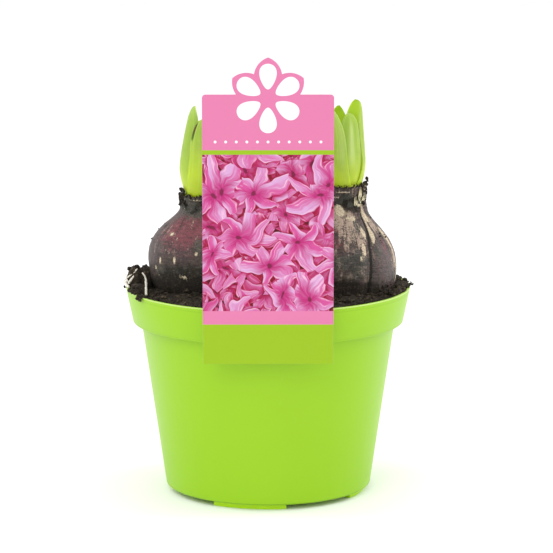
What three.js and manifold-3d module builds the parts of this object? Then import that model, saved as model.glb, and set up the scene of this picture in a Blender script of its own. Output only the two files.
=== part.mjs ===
// A potted hyacinth in early shoot: two forced bulbs in the soil of a nursery pot, and a picture
// label that hooks over the pot's rim. Millimetres, +Z up. The origin is the centre of the pot's
// foot on the surface that it stands on, and the label's printed face looks along -Y.
// A turn is an angle in degrees about +Z, from the front (-Y) towards the right (+X).

import * as THREE from 'three';
import { mergeVertices } from 'three/addons/utils/BufferGeometryUtils.js';
import Module from 'manifold-3d';

const wasm = await Module();
wasm.setup();

// Driving dimensions

const CLEARANCE = 0.3;

const POT_FACETS = 48;
const POT_HEIGHT = 87;
const POT_WALL = 1.2;
const RIM_RADIUS = 60;
const EDGE_ROUND = 0.4;
const COLLAR_FOOT_Z = 72.2;
const COLLAR_FOOT_RADIUS = 57;
const WALL_TOP_RADIUS = 53.55;
const WALL_FOOT_RADIUS = 43.5;
const WALL_FOOT_Z = 3.2;
const WALL_FOOT_ROUND = 0.9;
const FOOT_HEIGHT = 2.2;
const FOOT_RADIUS = 41;
const FOOT_WIDTH = 2.4;
const FOOT_DRAFT = 0.2;
const FOOT_COUNT = 4;
const FOOT_FIRST_TURN = -11.5;
const FOOT_SPAN = 44;
const DRAIN_COUNT = 6;
const DRAIN_CIRCLE = 28;
const DRAIN_RADIUS = 3;
const DRAIN_FACETS = 16;
const FLOOR_TOP = FOOT_HEIGHT + POT_WALL;
const LEDGE_TOP = COLLAR_FOOT_Z + POT_WALL;

const SOIL_GAP = CLEARANCE + 0.05;
const SOIL_EDGE_Z = 84.3;
const SOIL_CROWN = 0.4;
const SOIL_MOUND = 1.7;
const SOIL_MOUND_RADIUS = 20;
const SOIL_MOUND_WIDTH = 8;
const SOIL_RINGS = [53.5, 48, 42, 35.5, 28.5, 21, 13, 5];

const BULB_FACETS = 36;
const BULB_ROWS = 19;
const NECK_HOLE_DEPTH = 10;
const NECK_HOLE_FACETS = 32;
const SCALE_THICKNESS = 0.8;

const LEAF_THICKNESS = 1.6;
const LEAF_EDGE_THICKNESS = 0.8;
const LEAF_ACROSS = 6;
const LEAF_ALONG = 10;
const LEAF_FOOT_DEPTH = 3;
const LEAF_SHEATH = 1.16;
const LEAF_SWELL_START = 0.1;
const LEAF_HOOD = 1.6;
const LEAF_HOOD_START = 0.86;
const LEAF_LEAST_SHARE = 0.08;
const CORE_FACETS = 24;

const LABEL_WIDTH = 52.4;
const LABEL_FOOT_Z = 65.6;
const LABEL_SHOULDER_Z = 174.5;
const LABEL_CORNER = 1.4;
const LABEL_THICKNESS = 0.8;
const EMBLEM_Z = 172.9;
const EMBLEM_RADIUS = 16.3;
const EMBLEM_PETALS = 6;
const PETAL_HALF_WIDTH = 6.2;
const PETAL_STEPS = 8;
const TONGUE_REACH = 1.6;
const STAKE_WIDTH = 14;
const STAKE_THICKNESS = 0.9;
const STAKE_TIP_Z = 50;
const STAKE_TIP_TAPER = 0.35;
const STAKE_TAPER_HEIGHT = 9;
const STAKE_SLOPE = 0.4;

const ROOT_RADIUS = 0.55;
const ROOT_SIDES = 6;

// Each bulb: its axis, its widest level, the outline above and below that level as
// [radius, height] pairs, and the sunken hole in its neck that the shoot grows out of.
const BULBS = {
  left: {
    x: -27.2,
    y: 2,
    z: 97,
    outline: [
      [0, -21.2], [7, -21], [13, -19], [18.2, -14.5], [21.8, -8.5], [23.3, 0], [23.1, 5], [21.8, 9.2],
      [19.6, 12.6], [16.4, 15.8], [12.7, 18.8], [10.2, 21.4], [9.4, 24.5], [9.4, 28.5],
    ],
    holeRadius: 8.1,
    ridges: [[5, 0.22, 1.0], [9, 0.16, 2.3], [14, 0.1, 0.4]],
    crease: null,
    flaps: 8,
    flapSeed: 11,
  },
  right: {
    x: 30.6,
    y: 2,
    z: 91.4,
    outline: [
      [0, -22.2], [7.5, -22], [13.8, -19.6], [18.9, -14.6], [22.1, -8], [23.4, 0], [23.1, 6], [21.8, 11],
      [19.8, 15], [16.9, 19], [13.6, 22.6], [11.1, 26], [10.2, 29.5], [10, 34], [10.2, 38.5],
    ],
    holeRadius: 9.3,
    ridges: [[4, 0.2, 0.3], [7, 0.2, 1.9], [13, 0.12, 2.6]],
    crease: { turn: 31.5, drift: 0.3, bendAbove: 14, bendDrift: 1.1, depth: 1.2, swell: 0.6, span: 75 },
    flaps: 9,
    flapSeed: 29,
  },
};

// Each leaf: the turn it stands at, how far its back is from the shoot's axis at its widest and at
// the tip, the height of its tip, half its width, the radius that its upper part is cupped to, how
// blunt it is, how pointed its tip is, and the share of its height at which it is widest.
const SHOOTS = {
  left: {
    baseRadius: 7.8,
    coreTop: 140,
    leaves: [
      { turn: -82, mid: 10.0, tip: 3.6, top: 162.6, half: 8.2, cup: 5.3, blunt: 4.5, point: 0.5, peak: 0.36 },
      { turn: 9, mid: 10.5, tip: 6.8, top: 158.2, half: 7.8, cup: 8.0, blunt: 2.6, point: 0.5, peak: 0.36 },
      { turn: 80, mid: 10.1, tip: 7.0, top: 164, half: 8.8, cup: 6.2, blunt: 3.4, point: 0.5, peak: 0.4 },
      { turn: 170, mid: 9.7, tip: 5.6, top: 156.5, half: 9.6, cup: 6.8, blunt: 2.4, point: 0.5, peak: 0.45 },
    ],
  },
  right: {
    baseRadius: 9.0,
    coreTop: 142,
    leaves: [
      { turn: 116, mid: 10.5, tip: 7.3, top: 165, half: 8.8, cup: 6.4, blunt: 3.6, point: 0.5, peak: 0.33 },
      { turn: 24, mid: 9.7, tip: 7.2, top: 160.4, half: 6.5, cup: 7.0, blunt: 1.9, point: 0.5, peak: 0.4 },
      { turn: -40, mid: 10.8, tip: 7.4, top: 162, half: 9.8, cup: 8.4, blunt: 1.9, point: 0.5, peak: 0.45 },
      { turn: -116, mid: 9.8, tip: 7.2, top: 158.5, half: 8.8, cup: 6.4, blunt: 2.4, point: 0.5, peak: 0.45 },
      { turn: 189, mid: 10.2, tip: 5.6, top: 162.2, half: 7.6, cup: 6.4, blunt: 1.4, point: 0.62, peak: 0.45 },
    ],
  },
};

// Lumps of soil heaped on the rim: the turn, the distance from the axis and the height of each
// one's middle, and its reach outwards, along the rim and upwards.
const LUMPS = [
  { turn: -90, radius: 55.9, z: 88.2, reach: [3.8, 6.8, 6.9], seed: 3 },
  { turn: -91, radius: 51.6, z: 88.0, reach: [3.4, 6.5, 6.9], seed: 6 },
  { turn: -76, radius: 55.8, z: 85.6, reach: [4.2, 5.5, 4.2], seed: 8 },
  { turn: -107, radius: 55.6, z: 85.2, reach: [4.4, 7.5, 5.0], seed: 5 },
  { turn: 90, radius: 56.2, z: 85.4, reach: [4.0, 9.0, 3.2], seed: 14 },
  { turn: 75, radius: 56.6, z: 84.8, reach: [3.8, 7.0, 3.5], seed: 21 },
  { turn: 108, radius: 56.2, z: 84.6, reach: [4.2, 9.0, 3.0], seed: 34 },
];

// White roots that lie bare over the left lump: a long one, one that runs through the lump and
// comes out again beside it, and one that branches off at the rim.
const ROOTS = [
  [[-52.4, -4.1, 92.5], [-51.6, -5.3, 91.1], [-50.9, -5.9, 89.2], [-50.5, -7.6, 87.2],
    [-50.2, -11.5, 86.4], [-50.2, -16.2, 85.9]],
  [[-52.4, -4.1, 92.5], [-53.9, -2.4, 92.6], [-55.5, -3.2, 93.9], [-56.5, -5.3, 92.6],
    [-57.4, -6.0, 90.9], [-58.3, -7.0, 88.3]],
  [[-58.3, -7.0, 88.3], [-58.9, -5.6, 88.4], [-59.3, -3.8, 89.0]],
];

const COLORS = {
  pot: 0xaadc3c,
  soil: 0x2e2822,
  bulb: 0x76606a,
  leaf: 0xb4d250,
  label: 0xf091b9,
  root: 0xe6dfc8,
};

// Shared helpers

const degrees = THREE.MathUtils.degToRad;
const smooth = THREE.MathUtils.smoothstep;
const lerp = THREE.MathUtils.lerp;

function around(turn, radius, z) {
  const angle = degrees(turn);
  return new THREE.Vector3(radius * Math.sin(angle), -radius * Math.cos(angle), z);
}

function seededRandom(seed) {
  let state = seed;
  return () => {
    state = (state + 0x6d2b79f5) | 0;
    let mixed = Math.imul(state ^ (state >>> 15), 1 | state);
    mixed = (mixed + Math.imul(mixed ^ (mixed >>> 7), 61 | mixed)) ^ mixed;
    return ((mixed ^ (mixed >>> 14)) >>> 0) / 4294967296;
  };
}

// A closed geometry as a solid that can be joined and cut.
function solid(geometry) {
  const bare = new THREE.BufferGeometry();
  bare.setAttribute('position', geometry.getAttribute('position'));
  bare.setIndex(geometry.index);
  const merged = mergeVertices(bare, 1e-4);
  const corners = merged.index.array;
  const kept = [];
  for (let i = 0; i < corners.length; i += 3) {
    const [a, b, c] = corners.slice(i, i + 3);
    if (a !== b && b !== c && c !== a) {
      kept.push(a, b, c);
    }
  }
  const vertProperties = new Float32Array(merged.getAttribute('position').array);
  const triVerts = new Uint32Array(kept);
  return new wasm.Manifold(new wasm.Mesh({ numProp: 3, vertProperties, triVerts }));
}

function joined(solids) {
  return solids.reduce((whole, next) => whole.add(next));
}

// The one body that is left when loose scraps and sealed hollows are dropped.
function mainBody(whole) {
  return whole.decompose().reduce((best, next) => (next.volume() > best.volume() ? next : best));
}

function toMesh(name, whole, color, roughness) {
  const result = whole.getMesh();
  const geometry = new THREE.BufferGeometry();
  geometry.setAttribute('position', new THREE.BufferAttribute(result.vertProperties, result.numProp));
  geometry.setIndex(new THREE.BufferAttribute(result.triVerts, 1));
  const material = new THREE.MeshStandardMaterial({ color, roughness, metalness: 0, flatShading: true });
  const mesh = new THREE.Mesh(geometry, material);
  mesh.name = name;
  return mesh;
}

// A profile of [radius, height] pairs turned about the Z axis, anticlockwise as seen with the
// axis on the left: out along the underside, up the outside and back in over the top.
function turned(profile, facets) {
  const points = profile.map(([radius, height]) => new THREE.Vector2(radius, height));
  return new THREE.LatheGeometry(points, facets).rotateX(Math.PI / 2);
}

function reshape(geometry, change) {
  const position = geometry.getAttribute('position');
  const point = new THREE.Vector3();
  for (let i = 0; i < position.count; i++) {
    point.fromBufferAttribute(position, i);
    change(point);
    position.setXYZ(i, point.x, point.y, point.z);
  }
  return geometry;
}

// A thin closed blade. place(q, s, side) gives a point from q across (-1 to 1), s along (0 to 1)
// and the side of the blade (-1 or 1). Both sides are split along the same diagonals.
function blade(across, along, place) {
  const box = new THREE.BoxGeometry(2, 1, 2, across, along, 1);
  const far = box.groups[5];
  const corners = box.index.array;
  for (let i = far.start; i < far.start + far.count; i += 6) {
    const [a, b, d, , c] = corners.slice(i, i + 6);
    corners.set([a, b, c, a, c, d], i);
  }
  return reshape(box, (point) => point.copy(place(point.x, point.y + 0.5, point.z)));
}

function polygonTube(points, radius, sides, steps) {
  const section = new THREE.Shape(
    Array.from({ length: sides }, (_, i) => {
      const angle = (2 * Math.PI * i) / sides;
      return new THREE.Vector2(radius * Math.cos(angle), radius * Math.sin(angle));
    }),
  );
  const path = new THREE.CatmullRomCurve3(points.map((point) => new THREE.Vector3(...point)));
  return new THREE.ExtrudeGeometry(section, { steps, extrudePath: path });
}

// Pot: a tapered wall, a collar that stands out below the rim, and a floor raised on short feet

// The pot's inside as [radius, height] pairs from its floor up to its rim, or with inset above 0
// the line that keeps that far from it.
function potInside(inset) {
  const wallFoot = WALL_FOOT_RADIUS - POT_WALL;
  const wallTop = WALL_TOP_RADIUS - POT_WALL;
  const collarFoot = COLLAR_FOOT_RADIUS - POT_WALL;
  return [
    [wallFoot - 1.25 * EDGE_ROUND - 0.8 * inset, FLOOR_TOP + inset],
    [wallFoot + 0.6 * EDGE_ROUND - inset, FLOOR_TOP + 4 * EDGE_ROUND],
    [wallTop - inset, LEDGE_TOP - EDGE_ROUND],
    [wallTop + EDGE_ROUND / 2 - 0.6 * inset, LEDGE_TOP + inset],
    [collarFoot - EDGE_ROUND - inset, LEDGE_TOP + inset],
    [collarFoot - inset, LEDGE_TOP + EDGE_ROUND + inset],
    [RIM_RADIUS - POT_WALL - EDGE_ROUND / 2 - inset, POT_HEIGHT - EDGE_ROUND],
  ];
}

function makePot() {
  const footInner = FOOT_RADIUS - FOOT_WIDTH;
  const profile = [
    [0, FOOT_HEIGHT],
    [footInner, FOOT_HEIGHT],
    [footInner + FOOT_DRAFT, 0],
    [FOOT_RADIUS, 0],
    [FOOT_RADIUS + FOOT_DRAFT, FOOT_HEIGHT],
    [WALL_FOOT_RADIUS - WALL_FOOT_ROUND, FOOT_HEIGHT],
    [WALL_FOOT_RADIUS - WALL_FOOT_ROUND / 3, FOOT_HEIGHT + WALL_FOOT_ROUND / 3],
    [WALL_FOOT_RADIUS, WALL_FOOT_Z],
    [WALL_TOP_RADIUS, COLLAR_FOOT_Z],
    [COLLAR_FOOT_RADIUS - EDGE_ROUND, COLLAR_FOOT_Z],
    [COLLAR_FOOT_RADIUS, COLLAR_FOOT_Z + EDGE_ROUND],
    [RIM_RADIUS, POT_HEIGHT - EDGE_ROUND],
    [RIM_RADIUS - EDGE_ROUND, POT_HEIGHT],
    [RIM_RADIUS - POT_WALL, POT_HEIGHT],
    ...potInside(0).reverse(),
    [0, FLOOR_TOP],
  ];
  let pot = solid(turned(profile, POT_FACETS));
  for (let i = 0; i < FOOT_COUNT; i++) {
    const turn = FOOT_FIRST_TURN + (360 / FOOT_COUNT) * (i + 0.5);
    pot = pot.subtract(footNotch(turn, 360 / FOOT_COUNT - FOOT_SPAN));
  }
  for (let i = 0; i < DRAIN_COUNT; i++) {
    const drain = new THREE.CylinderGeometry(DRAIN_RADIUS, DRAIN_RADIUS, 4 * POT_WALL, DRAIN_FACETS);
    const centre = around((360 / DRAIN_COUNT) * i, DRAIN_CIRCLE, FOOT_HEIGHT + POT_WALL / 2);
    drain.rotateX(Math.PI / 2).translate(centre.x, centre.y, centre.z);
    pot = pot.subtract(solid(drain));
  }
  return pot;
}

// The block that is cut from the foot ring between two feet. It reaches a millimetre past the
// ring on every side, and up into the rounding at the foot of the wall.
function footNotch(turn, span) {
  const margin = 1;
  const start = degrees(turn - span / 2 - 90);
  const end = degrees(turn + span / 2 - 90);
  const sector = new THREE.Shape();
  sector.absarc(0, 0, WALL_FOOT_RADIUS + margin, start, end, false);
  sector.absarc(0, 0, FOOT_RADIUS - FOOT_WIDTH - margin, end, start, true);
  const depth = FOOT_HEIGHT + 2 * margin;
  const notch = new THREE.ExtrudeGeometry(sector, { depth, bevelEnabled: false });
  return solid(notch.translate(0, 0, -margin));
}

// Soil: fills the pot up to just under the rim, rises a little round the bulbs and is heaped on
// the rim at the left and the right

function soilRipple(x, y) {
  return (
    0.45 * Math.sin(0.31 * x + 0.17 * y + 0.8) +
    0.4 * Math.sin(0.23 * x - 0.41 * y + 2.1) +
    0.3 * Math.sin(0.66 * x + 0.52 * y + 4.0)
  );
}

function soilLevel(x, y) {
  const mound = Object.values(BULBS).map((bulb) => {
    const distance = Math.hypot(x - bulb.x, y - bulb.y);
    return SOIL_MOUND * Math.exp(-(((distance - SOIL_MOUND_RADIUS) / SOIL_MOUND_WIDTH) ** 2));
  });
  return SOIL_EDGE_Z + SOIL_CROWN + Math.max(...mound) + soilRipple(x, y);
}

function lumpSolid({ turn, radius, z, reach, seed }) {
  const random = seededRandom(seed);
  const phases = Array.from({ length: 6 }, () => 2 * Math.PI * random());
  const middle = around(turn, radius, z);
  const ball = reshape(new THREE.IcosahedronGeometry(1, 2), (point) => {
    const [a, b, c] = point.toArray();
    const rough =
      1 +
      0.1 * Math.sin(4.1 * a + 2.3 * b + phases[0]) +
      0.08 * Math.sin(5.3 * b - 3.7 * c + phases[1]) +
      0.07 * Math.sin(7.1 * c + 4.9 * a + phases[2]) +
      0.05 * Math.sin(9.7 * a - 8.3 * b + phases[3]);
    point.set(a * reach[1] * rough, b * reach[0] * rough, c * reach[2] * rough);
    point.applyAxisAngle(new THREE.Vector3(0, 0, 1), degrees(turn)).add(middle);
    const limit = RIM_RADIUS - CLEARANCE;
    const distance = Math.hypot(point.x, point.y);
    if (distance > limit) {
      point.x *= limit / distance;
      point.y *= limit / distance;
    }
  });
  return solid(ball);
}

// The space that the rim and the collar take up, with the clearance round them.
function rimSpace() {
  const outside = RIM_RADIUS + 1;
  const top = POT_HEIGHT + CLEARANCE;
  const inside = potInside(SOIL_GAP).slice(-2);
  const foot = inside[0];
  const profile = [foot, [outside, foot[1]], [outside, top], [inside[1][0], top], inside[1], foot];
  return solid(turned(profile, POT_FACETS));
}

function makeSoil(stakeSpace) {
  const inside = potInside(SOIL_GAP);
  const [[footRadius, footZ], [rimRadius, rimZ]] = inside.slice(-2);
  const edgeRadius = lerp(footRadius, rimRadius, (SOIL_EDGE_Z - footZ) / (rimZ - footZ));
  const profile = [
    [0, FLOOR_TOP + SOIL_GAP],
    ...inside.slice(0, -1),
    [edgeRadius, SOIL_EDGE_Z],
    ...SOIL_RINGS.map((radius) => [radius, SOIL_EDGE_Z]),
    [0, SOIL_EDGE_Z],
  ];
  const body = reshape(turned(profile, POT_FACETS), (point) => {
    const isTop = point.z > SOIL_EDGE_Z - 0.01 && Math.hypot(point.x, point.y) < SOIL_RINGS[0] + 1;
    if (isTop) {
      point.z = soilLevel(point.x, point.y);
    }
  });
  let soil = joined([solid(body), ...LUMPS.map(lumpSolid)]);
  soil = soil.subtract(rimSpace()).subtract(stakeSpace).subtract(rootSolid(ROOT_RADIUS + CLEARANCE));
  for (const bulb of Object.values(BULBS)) {
    soil = soil.subtract(solid(bulbGeometry(bulb, SOIL_GAP)));
  }
  return mainBody(soil);
}

// Bulbs: round below, drawn in to a neck of torn dry scales

function bulbRadius(bulb, turn, height, radius) {
  const share = Math.min(1, radius / 12);
  let change = 0;
  for (const [waves, size, phase] of bulb.ridges) {
    change += size * Math.sin(waves * turn + phase + 0.03 * height);
  }
  if (bulb.crease) {
    const { turn: place, drift, bendAbove, bendDrift, depth, swell, span } = bulb.crease;
    const lean = drift * height + bendDrift * Math.max(0, height - bendAbove);
    const past = THREE.MathUtils.radToDeg(turn) - place - lean;
    change += past > 0 ? swell * (1 - smooth(past, 0, span)) : 0;
    change -= depth * Math.exp(-((past / 6) ** 2));
  }
  return radius + share * change;
}

// The bulb's skin, or with grow above 0 the space that it takes up in the soil. The round bottom
// runs down to the axis, and the neck is closed by a flat top.
function bulbGeometry(bulb, grow = 0) {
  const outline = new THREE.SplineCurve(bulb.outline.map(([r, z]) => new THREE.Vector2(r, z)));
  const profile = outline.getSpacedPoints(BULB_ROWS).map((point) => [Math.max(0, point.x), point.y]);
  profile[0][0] = 0;
  profile.push([0, profile[profile.length - 1][1]]);
  const scale = 1 + grow / Math.max(...bulb.outline.map(([radius]) => radius));
  return reshape(turned(profile, BULB_FACETS), (point) => {
    const radius = Math.hypot(point.x, point.y);
    const turn = Math.atan2(point.x, -point.y);
    const changed = radius > 0.5 ? bulbRadius(bulb, turn, point.z, radius) / radius : 1;
    point.set(point.x * changed, point.y * changed, point.z).multiplyScalar(scale);
    point.add(new THREE.Vector3(bulb.x, bulb.y, bulb.z));
  });
}

function neckTop(bulb) {
  return bulb.z + bulb.outline[bulb.outline.length - 1][1];
}

function neckRadius(bulb) {
  return bulb.outline[bulb.outline.length - 1][0];
}

// Torn ends of dry scales, rooted in the neck and leaning out from it.
function neckFlaps(bulb) {
  const random = seededRandom(bulb.flapSeed);
  return Array.from({ length: bulb.flaps }, (_, i) => {
    const turn = (360 / bulb.flaps) * (i + 0.6 * random());
    const span = 11 + 12 * random();
    const foot = -8 + 2.5 * random();
    const length = 5 + 3.5 * random();
    const lean = 0.2 + 0.9 * random();
    const skew = 14 * (random() - 0.5);
    const notch = 0.55 + 0.35 * random();
    const ragged = 2 * Math.PI * random();
    return solid(
      blade(4, 2, (q, s, side) => {
        const tear = 1 - 0.22 * s * (1 + Math.sin(5 * q + ragged));
        const rise = foot + length * s * tear;
        const bend = neckRadius(bulb) - 0.5 + lean * s * s + 0.45 * smooth(s, 0, 0.3);
        const thick = (side * SCALE_THICKNESS) / 2;
        const across = span * q * (1 - notch * s * s) + skew * s;
        const point = around(turn + across, bend + thick, neckTop(bulb) + rise);
        return point.add(new THREE.Vector3(bulb.x, bulb.y, 0));
      }),
    );
  });
}

function makeBulb(bulb) {
  const { holeRadius } = bulb;
  const hole = new THREE.CylinderGeometry(holeRadius, holeRadius, 2 * NECK_HOLE_DEPTH, NECK_HOLE_FACETS);
  hole.rotateX(Math.PI / 2).translate(bulb.x, bulb.y, neckTop(bulb));
  const whole = joined([solid(bulbGeometry(bulb)), ...neckFlaps(bulb)]);
  return mainBody(whole.subtract(solid(hole)));
}

// Shoots: broad hooded leaves standing round a core of leaves that are still closed

// One leaf. Its foot is sheathed round the core, its back is farthest out at its peak and leans
// in from there to the hooded tip, and the blade is cupped more and more tightly.
function leafSolid(bulb, shoot, leaf) {
  const foot = neckTop(bulb) - LEAF_FOOT_DEPTH;
  const outermost = Math.max(...shoot.leaves.map(({ mid }) => mid));
  const footRadius = shoot.baseRadius - 0.2 - 0.6 * (outermost - leaf.mid);
  const sheath = LEAF_SHEATH * shoot.baseRadius;
  return solid(
    blade(LEAF_ACROSS, LEAF_ALONG, (q, rise, side) => {
      const s = 1 - (1 - rise) ** 1.25;
      const hooded = Math.max(0, (s - LEAF_HOOD_START) / (1 - LEAF_HOOD_START));
      const lean = Math.max(0, (s - leaf.peak) / (1 - leaf.peak)) ** 1.35;
      const back =
        lerp(footRadius, leaf.mid, Math.sqrt(smooth(s, LEAF_SWELL_START, leaf.peak))) +
        lean * (leaf.tip + LEAF_HOOD - leaf.mid) -
        LEAF_HOOD * (1 - Math.sqrt(Math.max(0, 1 - hooded ** 2)));
      const taper = (1 - (Math.max(0, s - 0.4) / 0.6) ** leaf.blunt) ** leaf.point;
      const half = lerp(sheath, leaf.half, smooth(s, 0.1, 0.6)) * Math.max(LEAF_LEAST_SHARE, taper);
      const bend = lerp(back, Math.min(leaf.cup, back), smooth(s, 0.1, 0.8));
      const thin = lerp(LEAF_THICKNESS, LEAF_EDGE_THICKNESS, Math.max(q * q, smooth(s, 0.6, 1)));
      const angle = (q * half) / bend;
      const radius = bend + (side > 0 ? 0 : -thin);
      const inward = radius * Math.cos(angle) + back - bend;
      const local = new THREE.Vector3(radius * Math.sin(angle), -inward, 0);
      local.applyAxisAngle(new THREE.Vector3(0, 0, 1), degrees(leaf.turn));
      return local.add(new THREE.Vector3(bulb.x, bulb.y, lerp(foot, leaf.top, s)));
    }),
  );
}

function makeShoot(bulb, shoot) {
  const foot = neckTop(bulb) - NECK_HOLE_DEPTH + CLEARANCE;
  const rise = shoot.coreTop - neckTop(bulb);
  const profile = [
    [0, foot],
    [shoot.baseRadius - 1, foot],
    [shoot.baseRadius, foot + 1],
    [shoot.baseRadius, neckTop(bulb) - 1.5],
    [shoot.baseRadius - 1, neckTop(bulb) + 0.12 * rise],
    [shoot.baseRadius - 0.8, neckTop(bulb) + 0.5 * rise],
    [shoot.baseRadius * 0.6, neckTop(bulb) + 0.85 * rise],
    [0, shoot.coreTop],
  ];
  const core = turned(profile, CORE_FACETS).translate(bulb.x, bulb.y, 0);
  return mainBody(joined([solid(core), ...shoot.leaves.map((leaf) => leafSolid(bulb, shoot, leaf))]));
}

// Label: a printed card in front of the rim, held by a tongue over the rim that ends in a stake

function petalShape(turn, length, half) {
  const petal = new THREE.Shape();
  const angle = degrees(90 - turn);
  const at = (along, across) => [
    along * Math.cos(angle) - across * Math.sin(angle),
    EMBLEM_Z + along * Math.sin(angle) + across * Math.cos(angle),
  ];
  const near = 0.3 * length;
  const far = 0.85 * length;
  petal.moveTo(...at(0, -0.25 * half));
  petal.bezierCurveTo(...at(near, -1.25 * half), ...at(far, -1.1 * half), ...at(length, 0));
  petal.bezierCurveTo(...at(far, 1.1 * half), ...at(near, 1.25 * half), ...at(0, 0.25 * half));
  return petal;
}

function cardShape() {
  const half = LABEL_WIDTH / 2;
  const middle = half - LABEL_CORNER;
  const level = LABEL_SHOULDER_Z - LABEL_CORNER;
  const card = new THREE.Shape();
  card.moveTo(-half, LABEL_FOOT_Z);
  card.lineTo(half, LABEL_FOOT_Z);
  card.lineTo(half, level);
  card.absarc(middle, level, LABEL_CORNER, 0, Math.PI / 2, false);
  card.absarc(-middle, level, LABEL_CORNER, Math.PI / 2, Math.PI, false);
  return card;
}

// A shape drawn in X and Z as a sheet in front of the pot.
function sheetSolid(shape) {
  const sheet = new THREE.ExtrudeGeometry(shape, {
    depth: LABEL_THICKNESS,
    bevelEnabled: false,
    curveSegments: PETAL_STEPS,
  });
  return solid(sheet.rotateX(Math.PI / 2).translate(0, -RIM_RADIUS - CLEARANCE, 0));
}

// The tongue and the stake in one bent strip. With grow above 0 it is the space that they take up.
function stakeSolid(grow = 0) {
  const thick = STAKE_THICKNESS + 2 * grow;
  const cardBack = -RIM_RADIUS - CLEARANCE - LABEL_THICKNESS / 2;
  const tongueZ = POT_HEIGHT + CLEARANCE + STAKE_THICKNESS / 2;
  const innerY = -(RIM_RADIUS - POT_WALL - TONGUE_REACH);
  const tipY = innerY + STAKE_SLOPE * (tongueZ - STAKE_TIP_Z);
  const path = [
    new THREE.Vector2(cardBack, tongueZ),
    new THREE.Vector2(innerY, tongueZ),
    new THREE.Vector2(tipY, STAKE_TIP_Z - grow),
  ];
  const side = new THREE.Shape(stripOutline(path, thick / 2));
  const width = STAKE_WIDTH + 2 * grow;
  const strip = new THREE.ExtrudeGeometry(side, { depth: width, bevelEnabled: false, steps: 2 });
  strip.translate(0, 0, -width / 2);
  return solid(
    reshape(strip, (point) => {
      const [y, z, x] = point.toArray();
      const taper = lerp(STAKE_TIP_TAPER, 1, smooth(z, STAKE_TIP_Z - 1, STAKE_TIP_Z + STAKE_TAPER_HEIGHT));
      point.set(x * taper, y, z);
    }),
  );
}

// The outline of a strip of the given half thickness along a path of points.
function stripOutline(path, half) {
  const sides = path.slice(1).map((point, i) => {
    const along = point.clone().sub(path[i]).normalize();
    return new THREE.Vector2(-along.y, along.x);
  });
  const widen = path.map((_, i) => {
    const mitre = sides[Math.max(0, i - 1)].clone().add(sides[Math.min(sides.length - 1, i)]);
    return mitre.multiplyScalar((2 * half) / mitre.lengthSq());
  });
  const upper = path.map((point, i) => point.clone().add(widen[i]));
  const lower = path.map((point, i) => point.clone().sub(widen[i]));
  return [...lower, ...upper.reverse()];
}

// Only the three upper petals of the emblem stand above the card.
function makeLabel() {
  const petals = [];
  for (let i = -1; i <= 1; i++) {
    petals.push(sheetSolid(petalShape((360 / EMBLEM_PETALS) * i, EMBLEM_RADIUS, PETAL_HALF_WIDTH)));
  }
  return mainBody(joined([sheetSolid(cardShape()), ...petals, stakeSolid()]));
}

// Roots

function rootSolid(radius) {
  return joined(
    ROOTS.map((points) => solid(polygonTube(points, radius, ROOT_SIDES, 3 * points.length - 2))),
  );
}

// The plant

const plant = new THREE.Group();
plant.name = 'potted_hyacinth';
plant.add(toMesh('pot', makePot(), COLORS.pot, 0.45));
plant.add(toMesh('soil', makeSoil(stakeSolid(CLEARANCE)), COLORS.soil, 1));
for (const [side, bulb] of Object.entries(BULBS)) {
  plant.add(toMesh(`bulb_${side}`, makeBulb(bulb), COLORS.bulb, 0.6));
  plant.add(toMesh(`shoot_${side}`, makeShoot(bulb, SHOOTS[side]), COLORS.leaf, 0.5));
}
plant.add(toMesh('label', makeLabel(), COLORS.label, 0.35));
plant.add(toMesh('roots', rootSolid(ROOT_RADIUS), COLORS.root, 0.7));

export default plant;
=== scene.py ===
# The looks of a potted hyacinth in early shoot, laid out as an add-on and run as a script.
# A turn is an angle in degrees about +Z, from the front (-Y) towards the right (+X).

import math
import random
from dataclasses import dataclass

import bmesh
import bpy
from bpy.props import FloatProperty, FloatVectorProperty, IntProperty, PointerProperty
from mathutils import Matrix, Vector, geometry, noise


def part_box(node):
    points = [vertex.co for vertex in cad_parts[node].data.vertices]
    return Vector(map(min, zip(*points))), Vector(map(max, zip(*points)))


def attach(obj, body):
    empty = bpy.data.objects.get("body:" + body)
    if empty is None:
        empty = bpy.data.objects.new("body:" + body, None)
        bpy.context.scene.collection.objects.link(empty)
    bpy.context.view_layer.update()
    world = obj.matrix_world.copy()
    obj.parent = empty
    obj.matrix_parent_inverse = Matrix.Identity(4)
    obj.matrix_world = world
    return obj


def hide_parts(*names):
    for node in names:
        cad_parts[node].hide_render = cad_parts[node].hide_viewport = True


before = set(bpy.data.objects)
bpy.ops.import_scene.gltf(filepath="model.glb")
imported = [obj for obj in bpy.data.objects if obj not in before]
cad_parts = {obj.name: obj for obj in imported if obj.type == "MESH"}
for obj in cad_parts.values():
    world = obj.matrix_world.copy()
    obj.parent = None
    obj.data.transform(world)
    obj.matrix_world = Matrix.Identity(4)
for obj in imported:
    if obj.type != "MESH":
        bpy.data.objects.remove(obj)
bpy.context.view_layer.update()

bl_info = {
    "name": "Potted Hyacinth",
    "version": (1, 0, 0),
    "blender": (4, 5, 0),
    "location": "3D View > Sidebar > Hyacinth",
    "description": "Builds a potted hyacinth in early shoot around its packed frame",
    "category": "Add Mesh",
}

MM = 0.001
UP = Vector((0, 0, 1))
MERGE_DISTANCE = 0.002
BATCH_SIZE = 120
CRUMB_SHARP = 25


# Small helpers


def blend(a, b, share):
    return a + (b - a) * share


def packed_box(node):
    """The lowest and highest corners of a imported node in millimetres, to a tenth."""
    return [[round(value / MM, 1) for value in corner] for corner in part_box(node)]


def ease(value, low, high):
    """0 below low, 1 above high and smooth between them."""
    share = min(max((value - low) / (high - low), 0), 1)
    return share * share * (3 - 2 * share)


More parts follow.
